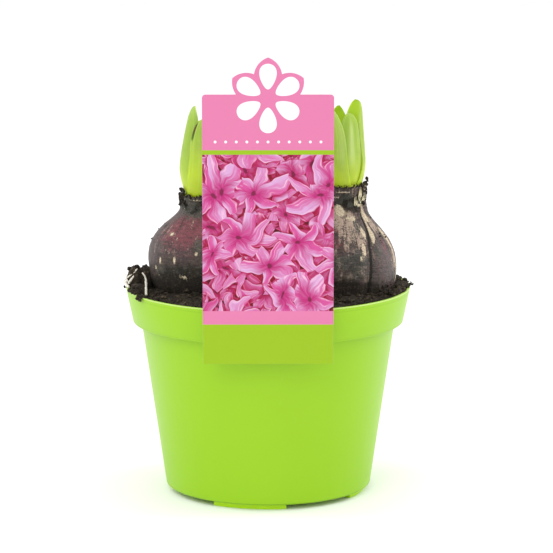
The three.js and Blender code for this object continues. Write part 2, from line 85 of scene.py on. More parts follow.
def around(turn, radius, height):
    """The point at a turn in degrees, a radius and a height."""
    angle = math.radians(turn)
    return Vector((radius * math.sin(angle), -radius * math.cos(angle), height))


def turn_of(point):
    """The turn of a point in degrees."""
    return math.degrees(math.atan2(point.x, -point.y))


def spread(rng, middle, reach):
    """A random number within reach of the middle."""
    return middle + reach * (2 * rng.random() - 1)


# Shader maths: sockets that are used in expressions


def math_node(operation, reflected=False):
    """A method that adds the Math node of one operator."""

    def method(self, other):
        values = (other, self) if reflected else (self, other)
        return self.graph.math(operation, *values)

    return method


class Value:
    """A socket. An operator on it adds the Math node that works the expression out."""

    def __init__(self, graph, socket):
        self.graph = graph
        self.socket = socket

    __add__ = __radd__ = math_node("ADD")
    __mul__ = __rmul__ = math_node("MULTIPLY")
    __sub__ = math_node("SUBTRACT")
    __rsub__ = math_node("SUBTRACT", reflected=True)
    __truediv__ = math_node("DIVIDE")
    __rtruediv__ = math_node("DIVIDE", reflected=True)

    def __abs__(self):
        return self.graph.math("ABSOLUTE", self)


class Graph:
    """The nodes of one material."""

    MIX_FACTOR, MIX_FIRST, MIX_SECOND, MIX_RESULT = 0, 6, 7, 2

    def __init__(self, name):
        self.material = bpy.data.materials.get(name) or bpy.data.materials.new(name)
        self.material.use_nodes = True
        self.tree = self.material.node_tree
        self.tree.nodes.clear()

    def put(self, socket, value):
        """Links a value to a socket, or sets the socket to a number, colour or vector."""
        if isinstance(value, Value):
            self.tree.links.new(value.socket, socket)
        elif hasattr(value, "__len__") and socket.type == "RGBA":
            socket.default_value = (*value[:3], 1.0)
        else:
            socket.default_value = value

    def node(self, kind, settings=None, inputs=None):
        """A node of any kind: its settings first, then the values or links of its sockets."""
        node = self.tree.nodes.new(kind)
        for name, value in (settings or {}).items():
            setattr(node, name, value)
        for name, value in (inputs or {}).items():
            self.put(node.inputs[name], value)
        return node

    def out(self, node, name=0):
        return Value(self, node.outputs[name])

    def math(self, operation, *values):
        inputs = dict(enumerate(values))
        return self.out(self.node("ShaderNodeMath", {"operation": operation}, inputs))

    def vector(self, operation, *values):
        inputs = dict(enumerate(values))
        return self.out(self.node("ShaderNodeVectorMath", {"operation": operation}, inputs))

    def mix(self, share, first, second, mode="MIX"):
        """A mix of two colours."""
        settings = {"data_type": "RGBA", "clamp_factor": True, "blend_type": mode}
        inputs = {self.MIX_FACTOR: share, self.MIX_FIRST: first, self.MIX_SECOND: second}
        return self.out(self.node("ShaderNodeMix", settings, inputs), self.MIX_RESULT)

    def coats(self, colour, *coats):
        """Lays coats over a colour. Each is how much of it shows and its own colour."""
        for share, coat in coats:
            colour = self.mix(share, colour, coat)
        return colour

    def rise(self, value, low, high):
        """0 where the value is below low, 1 above high and smooth between. low may be the larger."""
        settings = {"interpolation_type": "SMOOTHSTEP"}
        flipped = low > high
        inputs = {"Value": value, "From Min": min(low, high), "From Max": max(low, high)}
        inputs["To Min"], inputs["To Max"] = (1.0, 0.0) if flipped else (0.0, 1.0)
        return self.out(self.node("ShaderNodeMapRange", settings, inputs))

    def peak(self, value, middle, reach):
        """1 where the value is at the middle, falling to 0 at reach from it."""
        return self.rise(abs(value - middle), reach, 0.0)

    def distance(self, across, along):
        return self.math("SQRT", across * across + along * along)

    def place(self):
        """The point on the piece in millimetres, from its Object coordinates."""
        inputs = {0: self.out(self.node("ShaderNodeTexCoord"), "Object"), "Scale": 1 / MM}
        return self.out(self.node("ShaderNodeVectorMath", {"operation": "SCALE"}, inputs))

    def split(self, vector):
        node = self.node("ShaderNodeSeparateXYZ", None, {0: vector})
        return [self.out(node, i) for i in range(3)]

    def join(self, x, y, z):
        return self.out(self.node("ShaderNodeCombineXYZ", None, {0: x, 1: y, 2: z}))

    def noise(self, vector, scale, detail=3.0, roughness=0.55, distortion=0.0):
        inputs = {
            "Vector": vector,
            "Scale": scale,
            "Detail": detail,
            "Roughness": roughness,
            "Distortion": distortion,
        }
        return self.out(self.node("ShaderNodeTexNoise", None, inputs), 0)

    def cells(self, vector, scale, feature="F1", dimensions="3D"):
        settings = {"voronoi_dimensions": dimensions, "feature": feature}
        return self.node("ShaderNodeTexVoronoi", settings, {"Vector": vector, "Scale": scale})

    def attribute(self, name):
        return self.out(self.node("ShaderNodeAttribute", {"attribute_name": name}), "Fac")

    def surface(self, colour, roughness, height=None, depth=0.1, specular=0.5, constants=None):
        """Ends the graph in a Principled shader. A height of 1 stands out by depth in millimetres."""
        inputs = {"Base Color": colour, "Roughness": roughness, "Specular IOR Level": specular}
        if height is not None:
            bump = {"Height": height, "Distance": depth * MM, "Strength": 1.0}
            inputs["Normal"] = self.out(self.node("ShaderNodeBump", None, bump))
        inputs.update(constants or {})
        shader = self.node("ShaderNodeBsdfPrincipled", None, inputs)
        self.node("ShaderNodeOutputMaterial", None, {"Surface": self.out(shader)})
        return self.material


# Mesh helpers. The bmesh of a piece is in millimetres until the piece is finished.


def put_in_scene(name, data):
    thing = bpy.data.objects.new(name, data)
    bpy.context.scene.collection.objects.link(thing)
    return thing


def mesh_of(bm, name):
    """Turns a bmesh into a mesh and frees it."""
    mesh = bpy.data.meshes.new(name)
    bm.to_mesh(mesh)
    bm.free()
    return mesh


def add_part(bm, part):
    """Adds a bmesh that was made on its own, and frees it."""
    bmesh.ops.recalc_face_normals(part, faces=part.faces)
    mesh = mesh_of(part, "part")
    bm.from_mesh(mesh)
    bpy.data.meshes.remove(mesh)


def finish_piece(bm, name, material, replaced=(), sharp=None):
    """Turns a finished bmesh into a piece that rides on the root body."""
    old = bpy.data.objects.get(name)
    if old is not None:
        bpy.data.objects.remove(old)
    bmesh.ops.scale(bm, vec=(MM, MM, MM), verts=bm.verts)
    mesh = mesh_of(bm, name)
    mesh.shade_smooth()
    if sharp is not None:
        mesh.set_sharp_from_angle(angle=math.radians(sharp))
    mesh.materials.append(material)
    piece = put_in_scene(name, mesh)
    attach(piece, "root")
    if replaced:
        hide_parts(*replaced)
    return piece


def verts_in(items):
    return [item for item in items if isinstance(item, bmesh.types.BMVert)]


def bevel(bm, geom, offset, segments, affect="EDGES"):
    bmesh.ops.bevel(
        bm,
        geom=geom,
        offset=offset,
        segments=segments,
        profile=0.5,
        affect=affect,
        material=-1,
    )


def spin_corners(bm, corners, steps, start_turn=0.0):
    """Turns a line of (radius, height, rounding) corners about the Z axis."""
    verts = [bm.verts.new((radius, 0, height)) for radius, height, _ in corners]
    for pair in zip(verts, verts[1:]):
        bm.edges.new(pair)
    for vert, (_, _, rounding) in zip(verts, corners):
        if rounding:
            bevel(bm, [vert], rounding, 3, "VERTICES")
    turning = Matrix.Rotation(math.radians(start_turn - 90), 3, "Z")
    bmesh.ops.rotate(bm, verts=bm.verts, cent=(0, 0, 0), matrix=turning)
    bmesh.ops.spin(
        bm,
        geom=bm.verts[:] + bm.edges[:],
        cent=(0, 0, 0),
        axis=UP,
        angle=math.tau,
        steps=steps,
        use_merge=True,
    )
    bmesh.ops.remove_doubles(bm, verts=bm.verts, dist=MERGE_DISTANCE)
    bmesh.ops.recalc_face_normals(bm, faces=bm.faces)


def smooth_line(points, steps):
    """A smooth line through the points, with the given steps between each two of them."""
    points = [Vector(point) for point in points]
    last = len(points) - 1
    line = []
    for i in range(last):
        before, start, end, after = (points[min(max(k, 0), last)] for k in range(i - 1, i + 3))
        near = start + (end - before) / 6
        far = end - (after - start) / 6
        line += geometry.interpolate_bezier(start, near, far, end, steps + 1)[:-1]
    return [*line, points[last]]


def shaped_sheet(bm, across, along, place):
    """A grid whose points are put at place(q, s), with q from -1 to 1 and s from 0 to 1."""
    made = bmesh.ops.create_grid(bm, x_segments=across, y_segments=along, size=1)
    places = {vert: (vert.co.x, (vert.co.y + 1) / 2) for vert in made["verts"]}
    for vert, (q, s) in places.items():
        vert.co = place(q, s)
    return places


def rim_edges(sheet):
    """The edges round the border of a sheet."""
    return {edge for vert in sheet for edge in vert.link_edges if edge.is_boundary}


def thick_sheet(bm, across, along, place, thickness):
    """A shaped sheet with an even thickness."""
    sheet = shaped_sheet(bm, across, along, place)
    faces = {face for vert in sheet for face in vert.link_faces}
    bmesh.ops.solidify(bm, geom=[*sheet, *rim_edges(sheet), *faces], thickness=thickness)


def tube(bm, points, radii, sides):
    """A closed round tube through the points, with a radius at each."""
    frames = []
    for i, (point, radius) in enumerate(zip(points, radii)):
        along = points[min(i + 1, len(points) - 1)] - points[max(i - 1, 0)]
        turning = along.to_track_quat("Z", "X").to_matrix().to_4x4()
        frames.append(Matrix.Translation(point) @ turning @ Matrix.Scale(radius, 4))
    ring = bmesh.ops.create_circle(bm, cap_ends=True, radius=1, segments=sides, matrix=frames[0])
    edges = list({edge for vert in ring["verts"] for edge in vert.link_edges})
    for before, after in zip(frames, frames[1:]):
        made = bmesh.ops.extrude_edge_only(bm, edges=edges)["geom"]
        edges = [item for item in made if isinstance(item, bmesh.types.BMEdge)]
        bmesh.ops.transform(bm, matrix=after @ before.inverted(), verts=verts_in(made))
    bmesh.ops.edgeloop_fill(bm, edges=edges)


def in_batches(jobs):
    """A bmesh of many small jobs. Each batch has a bmesh of its own, which keeps them quick."""
    bm = bmesh.new()
    for start in range(0, len(jobs), BATCH_SIZE):
        part = bmesh.new()
        for job in jobs[start : start + BATCH_SIZE]:
            job(part)
        add_part(bm, part)
    return bm


def crumb(bm, rng, point, radius, detail=1):
    """A rough little clod of soil."""
    turning = Matrix.Rotation(math.tau * rng.random(), 4, noise.random_unit_vector())
    wide, deep = (radius * spread(rng, 1, 0.3) for _ in range(2))
    matrix = Matrix.Translation(point) @ turning @ Matrix.Diagonal((wide, deep, radius * 0.8, 1))
    made = bmesh.ops.create_icosphere(bm, subdivisions=detail, radius=1, matrix=matrix)
    for vert in made["verts"]:
        vert.co = point + (vert.co - point) * spread(rng, 1, 0.24)


def finish_crumbs(name, material, rng, clods):
    """A piece of crumbs, from a point, a radius and perhaps a detail for each."""
    jobs = [lambda part, clod=clod: crumb(part, rng, *clod) for clod in clods]
    finish_piece(in_batches(jobs), name, material, sharp=CRUMB_SHARP)


# Pot: a tapered wall, a collar below the rim, a ledge inside it and a floor on short feet

RIM_RADIUS, _, POT_HEIGHT = packed_box("pot")[1]
POT_FACETS = 180
POT_WALL = 1.2
# Radius and height of the collar's and of the wall's lowest corner.
COLLAR_FOOT = (57.0, 72.2)
WALL_FOOT = (43.5, 3.2)
WALL_TOP_RADIUS = 53.55
FOOT_HEIGHT = 2.2
# Inner and outer radius of the feet.
FOOT_RING = (38.6, 41.0)
FOOT_COUNT = 4
FOOT_SPAN = 44
FOOT_FIRST_TURN = -11.5
FOOT_EDGE = 0.2
DRAIN_COUNT = 6
DRAIN_CIRCLE = 28.0
DRAIN_RADIUS = 3.0
FLOOR_TOP = FOOT_HEIGHT + POT_WALL
LEDGE_TOP = COLLAR_FOOT[1] + POT_WALL
ROUND = 0.4
POT_SHARP = 40
# Levels of lines in the finish: painted shade at the collar's foot, a mould seam below the rim, and a
# painted highlight with some wear on the rim's edge.
COLLAR_SHADE_LEVEL = 73.0
RIM_SEAM = 85.2
RIM_SHINE_LEVEL = 86.7


def wall_inside(height):
    """The radius of the collar's inner face at a height."""
    low = COLLAR_FOOT[0] - POT_WALL
    share = (height - LEDGE_TOP - ROUND) / (POT_HEIGHT - LEDGE_TOP - 2 * ROUND)
    return blend(low, RIM_RADIUS - POT_WALL - ROUND / 2, share)


def pot_corners():
    """The pot's section, from the middle of its underside out, up and in again."""
    return [
        (0, FOOT_HEIGHT, 0),
        (FOOT_RING[0], FOOT_HEIGHT, 0),
        (FOOT_RING[1], FOOT_HEIGHT, 0),
        (WALL_FOOT[0] - 0.1, FOOT_HEIGHT, 0.7),
        (*WALL_FOOT, 0.15),
        (WALL_TOP_RADIUS, COLLAR_FOOT[1], 0.25),
        (*COLLAR_FOOT, 0.45),
        (RIM_RADIUS, POT_HEIGHT, 0.42),
        (RIM_RADIUS - POT_WALL, POT_HEIGHT, 0.35),
        (COLLAR_FOOT[0] - POT_WALL, LEDGE_TOP, 0.5),
        (WALL_TOP_RADIUS - POT_WALL, LEDGE_TOP, 0.4),
        (WALL_FOOT[0] - POT_WALL, FLOOR_TOP, 1.4),
        (0, FLOOR_TOP, 0),
    ]


def make_feet(bm):
    """Draws the feet down out of the ring on the pot's underside."""
    turns = [FOOT_FIRST_TURN + 360 / FOOT_COUNT * i for i in range(FOOT_COUNT)]

    def is_foot(face):
        centre = face.calc_center_median()
        radius = math.hypot(centre.x, centre.y)
        off = min(abs((turn_of(centre) - turn + 180) % 360 - 180) for turn in turns)
        on_ring = FOOT_RING[0] < radius < FOOT_RING[1] and abs(centre.z - FOOT_HEIGHT) < 0.01
        return on_ring and off < FOOT_SPAN / 2

    faces = [face for face in bm.faces if is_foot(face)]
    verts = verts_in(bmesh.ops.extrude_face_region(bm, geom=faces)["geom"])
    bmesh.ops.translate(bm, verts=verts, vec=(0, 0, -FOOT_HEIGHT))
    bmesh.ops.delete(bm, geom=faces, context="FACES_ONLY")
    soles = {face for vert in verts for face in vert.link_faces if abs(face.normal.z) > 0.9}
    edges = {edge for face in soles for edge in face.edges}
    border = [edge for edge in edges if sum(face in soles for face in edge.link_faces) == 1]
    bevel(bm, border, FOOT_EDGE, 2)


def drill_drains(pot):
    """Cuts the drain holes through the pot's floor."""
    bm = bmesh.new()
    for i in range(DRAIN_COUNT):
        centre = around(360 / DRAIN_COUNT * i, DRAIN_CIRCLE, FOOT_HEIGHT + POT_WALL / 2)
        bmesh.ops.create_cone(
            bm,
            cap_ends=True,
            segments=32,
            radius1=DRAIN_RADIUS,
            radius2=DRAIN_RADIUS,
            depth=3 * POT_WALL,
            matrix=Matrix.Translation(centre),
        )
    bmesh.ops.scale(bm, vec=(MM, MM, MM), verts=bm.verts)
    drains = put_in_scene("drains", mesh_of(bm, "drains"))
    cut = pot.modifiers.new("drains", "BOOLEAN")
    cut.operation = "DIFFERENCE"
    cut.solver = "EXACT"
    cut.object = drains
    drilled = pot.evaluated_get(bpy.context.evaluated_depsgraph_get())
    mesh = bpy.data.meshes.new_from_object(drilled)
    pot.modifiers.remove(cut)
    pot.data = mesh
    pot.data.set_sharp_from_angle(angle=math.radians(POT_SHARP))
    bpy.data.objects.remove(drains)


def pot_material(settings):
    """Satin lime plastic with a faint flow, a fine grain, scuffs, a little soil dust, a painted highlight
    with some wear along the rim, painted shade at the collar's foot and painted light on the feet.
    """
    g = Graph("lime_plastic")
    place = g.place()
    _, _, z = g.split(place)
    flow = g.noise(place, 0.03, 2.0)
    grain = g.noise(place, 2.4, 3.0)
    scuffs = g.rise(g.noise(g.vector("MULTIPLY", place, (1.0, 1.0, 0.25)), 0.5, 5.0), 0.66, 0.8)
    dust = g.rise(g.noise(place, 0.9, 5.0, 0.65), 0.56, 0.74) * g.rise(z, POT_HEIGHT - 4, POT_HEIGHT)
    seams = g.peak(z, RIM_SEAM, 0.5) * 0.22 + g.peak(z, FOOT_HEIGHT + 0.4, 0.5) * 0.5
    colour = g.coats(
        settings.colour,
        (flow * 0.5, [channel * 0.9 for channel in settings.colour]),
        (scuffs * 0.12, settings.scuff_colour),
        (dust * 0.35, settings.dust_colour),
        # Mould seams, and painted shade at the collar's foot where it steps onto the wall.
        (seams + g.peak(z, COLLAR_SHADE_LEVEL, 0.5) * 0.15, settings.seam_and_shade_colour),
        # Painted highlight along the rim's rounded edge, with some wear.
        (g.peak(z, RIM_SHINE_LEVEL, 0.4) * 0.65, settings.rim_shine_and_wear_colour),
        # Painted light: the feet are brightened, as if lit from the floor below.
        (g.rise(z, FOOT_HEIGHT + 0.2, FOOT_HEIGHT - 0.2) * 0.7, settings.foot_colour),
    )
    roughness = 0.34 + grain * 0.1 + scuffs * 0.15 + dust * 0.25
    return g.surface(colour, roughness, grain * 0.5 + flow * 4.0, 0.03, 0.36)


# Soil: fills the pot, rises a little round the bulbs and is heaped on the rim at both sides

# The soil's gap to the pot, and its closer fit where it shows.
SOIL_GAP = 0.3
SOIL_FIT = 0.05
# The level of the soil at the pot's wall, and how it falls towards the wall.
SOIL_EDGE = 84.3
SOIL_FALL = 0.6
SOIL_FALL_WIDTH = 1.5
SOIL_CROWN = 0.4
SOIL_MOUND = 1.7
SOIL_MOUND_RADIUS = 20.0
SOIL_MOUND_WIDTH = 8.0
SOIL_RING_COUNT = 46
SOIL_STEPS = 160
SOIL_SEED = 41
# Crumbs stay this far from a bulb's axis, and off a patch that the longest root lies over, given by
# its left, right, front and back. A share of each lump's points has a crumb.
BULB_CLEARANCE = 21.5
BARE_PATCH = (-52.6, -49.0, -24, -4)
LUMP_CRUMB_SHARE = 0.11
# The least radius of a crumb, how much larger it can be, and the radius from which it is rounder.
CRUMB_RADIUS = 0.28
CRUMB_GROWTH = 1.15
ROUNDER_CRUMB = 0.85
SPILLED_RADIUS = 0.25
# Middle and reach of a fibre's half length and of its radius.
FIBRE_HALF = (1.4, 0.8)
FIBRE_RADIUS = (0.11, 0.05)
# Waves of the soil's surface. Each: size, waves along x and y, phase.
RIPPLES = [(0.45, 0.31, 0.17, 0.8), (0.4, 0.23, -0.41, 2.1), (0.3, 0.66, 0.52, 4.0)]
LUMP_ROUGHNESS = 0.16
# Lumps stay this far inside the edge of the rim, and from this far over the rim they may lie on it.
LUMP_INSET = 0.3
LUMP_LIFT = 0.15

# Each lump: turn, distance from the axis, height, reach outwards, along the rim and upwards, seed.
LUMPS = [
    (-90, 55.9, 88.2, (3.8, 6.8, 6.9), 3),
    (-91, 51.6, 88.0, (3.4, 6.5, 6.9), 6),
    (-76, 55.8, 85.6, (4.2, 5.5, 4.2), 8),
    (-107, 55.6, 85.2, (4.4, 7.5, 5.0), 5),
    (90, 56.2, 85.4, (4.0, 9.0, 3.2), 14),
    (75, 56.6, 84.8, (3.8, 7.0, 3.5), 21),
    (108, 56.2, 84.6, (4.2, 9.0, 3.0), 34),
]

# Soil spilled over the rim. Each: turn and reach, radius and reach, height and reach, number of
# clods, largest radius.
SPILLS = [
    (-61.2, 2.4, 59.4, 0.9, 87.3, 0.5, 34, 0.9),
    (-61.5, 2.0, 60.5, 0.3, 86.4, 0.7, 26, 0.75),
    (-71.0, 7.5, 59.5, 0.6, 87.2, 0.3, 56, 0.7),
    (-85.5, 1.6, 60.6, 0.3, 87.0, 0.5, 8, 0.6),
    (-55.0, 4.0, 59.0, 0.6, 87.1, 0.3, 12, 0.6),
    (89.5, 1.0, 60.5, 0.7, 87.6, 0.5, 12, 0.75),
    (84.0, 4.0, 59.2, 0.6, 87.2, 0.4, 14, 0.7),
    (106.0, 10.0, 59.4, 0.5, 87.0, 0.15, 90, 0.45),
]


def soil_height(x, y):
    """The height of the soil's surface, with its clods."""
    off = [math.hypot(x - bulb.x, y - bulb.y) - SOIL_MOUND_RADIUS for bulb in BULBS]
    mound = max(math.exp(-((distance / SOIL_MOUND_WIDTH) ** 2)) for distance in off)
    ripple = sum(size * math.sin(a * x + b * y + phase) for size, a, b, phase in RIPPLES)
    clods = 0.9 * noise.fractal(Vector((x, y, 0)) / 3.2, 0.8, 2.1, 4)
    return SOIL_EDGE + SOIL_CROWN + SOIL_MOUND * mound + ripple + clods


def keep_off_rim(point):
    """Draws a point of a lump in to the edge of the rim, and below the rim to the pot's inside."""
    limit = RIM_RADIUS - LUMP_INSET
    if point.z < POT_HEIGHT + LUMP_LIFT:
        limit = wall_inside(min(point.z, POT_HEIGHT - ROUND)) - SOIL_FIT
    radius = math.hypot(point.x, point.y)
    if radius > limit:
        point.x *= limit / radius
        point.y *= limit / radius
    return point


def make_soil_bed(bm):
    """The soil's body: its sides follow the pot, and its top is broken up into clods."""
    edge = wall_inside(SOIL_EDGE) - SOIL_FIT
    side = [
        (0, FLOOR_TOP + SOIL_GAP, 0),
        (WALL_FOOT[0] - POT_WALL - 0.8, FLOOR_TOP + SOIL_GAP, 0),
        (WALL_TOP_RADIUS - POT_WALL - SOIL_GAP, LEDGE_TOP - 0.4, 0),
        (WALL_TOP_RADIUS - POT_WALL, LEDGE_TOP + SOIL_GAP, 0),
        (COLLAR_FOOT[0] - POT_WALL - 2 * SOIL_GAP, LEDGE_TOP + SOIL_GAP, 0),
        (COLLAR_FOOT[0] - POT_WALL - SOIL_GAP, LEDGE_TOP + 0.7, 0),
    ]
    rings = [(edge * (1 - i / SOIL_RING_COUNT), SOIL_EDGE, 0) for i in range(SOIL_RING_COUNT + 1)]
    spin_corners(bm, side + rings, SOIL_STEPS)
    for vert in bm.verts:
        if vert.co.z > SOIL_EDGE - 0.01:
            near_wall = ease(math.hypot(vert.co.x, vert.co.y), edge - SOIL_FALL_WIDTH, edge)
            level = blend(soil_height(vert.co.x, vert.co.y), SOIL_EDGE - SOIL_FALL, near_wall)
            vert.co.z = min(level, POT_HEIGHT - 1 + 4 * (1 - near_wall))


def make_lump(bm, turn, radius, height, reach, seed):
    """A clod that lies on the rim."""
    middle = around(turn, radius, height)
    rotation = Matrix.Rotation(math.radians(turn), 3, "Z")
    made = bmesh.ops.create_icosphere(bm, subdivisions=4, radius=1)
    for vert in made["verts"]:
        rough = 1 + LUMP_ROUGHNESS * noise.fractal(vert.co * 2.2 + Vector((seed, 0, 0)), 0.9, 2.1, 5)
        point = Vector((vert.co.x * reach[1], vert.co.y * reach[0], vert.co.z * reach[2])) * rough
        vert.co = keep_off_rim(middle + rotation @ point)
    return made["verts"]


def soil_material(settings):
    """Dark moist peat with brown, grey and tan flecks."""
    g = Graph("potting_soil")
    place = g.place()
    broad = g.noise(place, 0.16, 3.0)
    fine = g.noise(place, 1.7, 5.0, 0.7)
    shade, _, _ = g.split(g.out(g.cells(place, 1.1), "Color"))
    colour = g.coats(
        settings.dark_colour,
        (g.rise(fine, 0.35, 0.7), settings.brown_colour),
        (g.rise(shade, 0.86, 0.97) * 0.45, settings.tan_colour),
        (g.rise(broad, 0.45, 0.7) * 0.45, settings.dark_colour),
    )
    roughness = 0.95 - g.rise(fine, 0.5, 0.8) * 0.25
    return g.surface(colour, roughness, fine, 0.5, 0.35)


# Bulbs: round below, drawn in to a neck of torn dry scales


@dataclass
class Bulb:
    """One bulb in millimetres: its axis, its widest level and its outline round that level."""

    side: str
    x: float
    y: float
    z: float
    outline: list
    hole: float
    ridges: list
    crease: dict | None
    shoot: dict
    marks: dict
    clods: list

    @property
    def neck_top(self):
        return self.z + self.outline[-1][1]

    @property
    def neck_radius(self):
        return self.outline[-1][0]

    @property
    def axis(self):
        return Vector((self.x, self.y, 0))

    def line(self, steps):
        return smooth_line([(radius, 0, height) for radius, height in self.outline], steps)

    def past_crease(self, turn, height):
        """How many degrees a place on the skin is past the crease."""
        crease = self.crease
        lean = crease["drift"] * height + crease["bend_drift"] * max(0, height - crease["bend_above"])
        return turn - crease["turn"] - lean

    def mark(self, name, turn, height, radius):
        """How strong the marks of a kind are at a place on the skin, from 0 to 1."""
        total = 0.0
        if self.crease and name in self.crease["bands"]:
            strength, middle, reach, low, high = self.crease["bands"][name]
            off = (self.past_crease(turn, height) - middle) / reach
            total = strength * math.exp(-(off ** 2)) * ease(height, low, high)
        for place, level, width, tall, strength in self.marks.get(name, []):
            off = (turn - place + 180) % 360 - 180
            across = math.radians(off) * radius / width
            up = (height - level) / tall
            if abs(across) < 2.5 and abs(up) < 2.5:
                total += strength * math.exp(-across * across - up * up)
        return min(total, 1.0)

    def change(self, turn, height, radius):
        """How far the skin stands out from the outline at a turn in degrees and a height."""
        angle = math.radians(turn)
        sway = 0.03 * height
        amount = sum(size * math.sin(waves * angle + phase + sway) for waves, size, phase in self.ridges)
        if self.crease:
            crease = self.crease
            past = self.past_crease(turn, height)
            if past > 0:
                amount += crease["swell"] * (1 - ease(past, 0, crease["span"]))
            amount -= crease["depth"] * math.exp(-((past / 5) ** 2))
        return min(1, radius / 12) * amount


# Each point of an outline: radius, height over the widest level.
LEFT_OUTLINE = [
    (0, -21.2), (7, -21), (13, -19), (18.2, -14.5), (21.8, -8.5), (23.3, 0), (23.1, 5), (21.8, 9.2),
    (19.6, 12.6), (16.4, 15.8), (12.7, 18.8), (10.2, 21.4), (9.4, 24.5), (9.4, 28.5),
]
RIGHT_OUTLINE = [
    (0, -22.2), (7.5, -22), (13.8, -19.6), (18.9, -14.6), (22.1, -8), (23.4, 0), (23.1, 6), (21.8, 11),
    (19.8, 15), (16.9, 19), (13.6, 22.6), (11.1, 26), (10.2, 29.5), (10, 34), (10.2, 38.5),
]
# Each row of ridges: how many go round, size, phase.
LEFT_RIDGES = [(5, 0.22, 1.0), (9, 0.16, 2.3), (14, 0.1, 0.4)]
RIGHT_RIDGES = [(4, 0.2, 0.3), (7, 0.2, 1.9), (13, 0.12, 2.6)]

# The crease runs down from the neck. Its swell and depth are in millimetres, and its bands are marks
# along it: strength, middle and reach in degrees past the crease, and the heights where they begin.
RIGHT_CREASE = {
    "turn": 31.5,
    "drift": 0.3,
    "bend_above": 14,
    "bend_drift": 1.1,
    "depth": 1.2,
    "swell": 0.6,
    "span": 75,
    # The first band paints shade in the crease; the second is pale flakes beside it.
    "bands": {"shade_line": (1.0, 0, 1.9, -12, -2), "cream": (0.8, 4.5, 2.2, 12, 17)},
}

# Each leaf: turn, how far its back is from the axis at its widest and at the tip, height of the
# tip, half its width, the radius that its upper part is cupped to, how blunt it is, how pointed
# its tip is, and the share of its height at which it is widest.
LEFT_SHOOT = {
    "base": 7.8,
    "core_top": 140,
    "leaves": [
        (-82, 10.0, 3.6, 162.6, 8.2, 5.3, 4.5, 0.5, 0.36),
        (9, 10.5, 6.8, 158.2, 7.8, 8.0, 2.6, 0.5, 0.36),
        (80, 10.1, 7.0, 164, 8.8, 6.2, 3.4, 0.5, 0.4),
        (170, 9.7, 5.6, 156.5, 9.6, 6.8, 2.4, 0.5, 0.45),
    ],
}
RIGHT_SHOOT = {
    "base": 9.0,
    "core_top": 142,
    "leaves": [
        (116, 10.5, 7.3, 165, 8.8, 6.4, 3.6, 0.5, 0.33),
        (24, 9.7, 7.2, 160.4, 6.5, 7.0, 1.9, 0.5, 0.4),
        (-40, 10.8, 7.4, 162, 9.8, 8.4, 1.9, 0.5, 0.45),
        (-116, 9.8, 7.2, 158.5, 8.8, 6.4, 2.4, 0.5, 0.45),
        (189, 10.2, 5.6, 162.2, 7.6, 6.4, 1.4, 0.62, 0.45),
    ],
}

# Marks on the skin. Each: turn, height over the widest level, half its width and half its height
# in millimetres, strength.
MARK_KINDS = ("red", "grey", "slate", "beige", "cream", "soil_and_shade", "shade_line")
LEFT_MARKS = {
    "red": [
        (-24, 16.5, 8, 5, 0.8), (-8, 15.5, 7, 5, 0.9), (-48, 14, 6, 4, 0.5), (-30, 9.4, 10, 4.5, 0.33),
        (-12, 7, 8, 2.5, 0.1), (-9, 25.4, 2.4, 1.4, 0.9),
        (62, 14, 12, 8, 0.8), (130, 11, 12, 9, 0.7), (-140, 13, 13, 7, 0.8),
    ],
    "grey": [
        # The first two grey marks also paint the grey sheen along the bulb's left edge.
        (-74, 9, 5, 9, 0.8), (-70, 0, 6, 6, 0.5), (-52, 6, 5, 6, 0.3), (-60, 18, 4, 4, 0.5),
        (-50, 22.5, 8, 3, 0.9), (95, 4, 12, 9, 0.8), (175, 3, 12, 9, 0.8),
    ],
    "slate": [
        # The slate marks at heights 22 and 26 paint the shade under the neck.
        (-8, -0.4, 12, 2.6, 1.0), (-35, -1.8, 9, 2.4, 0.6), (-16, 22, 8, 3.5, 0.9), (-52, -4, 8, 3.5, 0.5),
        (-34, 26, 12, 3, 0.9), (-6, 11.2, 1.8, 2.4, 0.7), (-4, 8.4, 4, 2.6, 0.45),
        (80, -3, 12, 4, 0.8), (150, 2, 12, 4, 0.7), (-120, 0, 12, 5, 0.8),
    ],
    "beige": [
        # The first beige mark is the soft edge of a painted highlight on the bulb's shoulder.
        (-43, 13.5, 1.8, 1.3, 0.4), (-56, 15.5, 2.5, 2.5, 0.35), (-41, 7, 1.6, 1.1, 0.35),
        (-20, -3.4, 4.2, 1.3, 0.6), (-62, 8, 1.0, 3.5, 0.35),
    ],
    "cream": [
        # The first cream mark is a painted highlight on the bulb's shoulder.
        (-43.2, 13.5, 0.9, 0.75, 1.3), (-48.5, 2.9, 0.6, 1.5, 1.3), (-30.7, 3.6, 0.6, 1.5, 1.3),
        (-20, 26.9, 3.6, 0.35, 1.0), (-86, -2.5, 1.4, 3.2, 0.9),
        (-57.7, -0.6, 0.6, 1.2, 1.1), (-6.5, 6.6, 0.8, 1.0, 1.2), (-24.2, -2.9, 1.0, 0.7, 1.1),
        (-15.4, -4.2, 1.3, 0.6, 1.2), (-22, -3.6, 3.6, 1.3, 0.24), (-53, -3.5, 0.5, 1.0, 0.8),
        (-33, 12, 0.7, 0.6, 0.6), (-19.5, -3.2, 0.8, 0.8, 0.9),
        (40, 6, 0.8, 1.4, 0.9), (110, 9, 1.0, 1.4, 0.9), (-170, 8, 0.9, 1.6, 0.9),
    ],
    # Soil on the skin, and painted shade: the mark at height 25.5 paints the shade under the neck's torn
    # scales.
    "soil_and_shade": [
        (-6, -5.5, 17, 4.2, 1.0), (-35, -7, 12, 4.5, 1.0), (-62, -10, 12, 4, 1.0), (6, 25.5, 7, 2.4, 0.8),
        (-16, 0.4, 12, 2.2, 0.5), (-26, 4, 10, 2.4, 0.3),
    ],
}
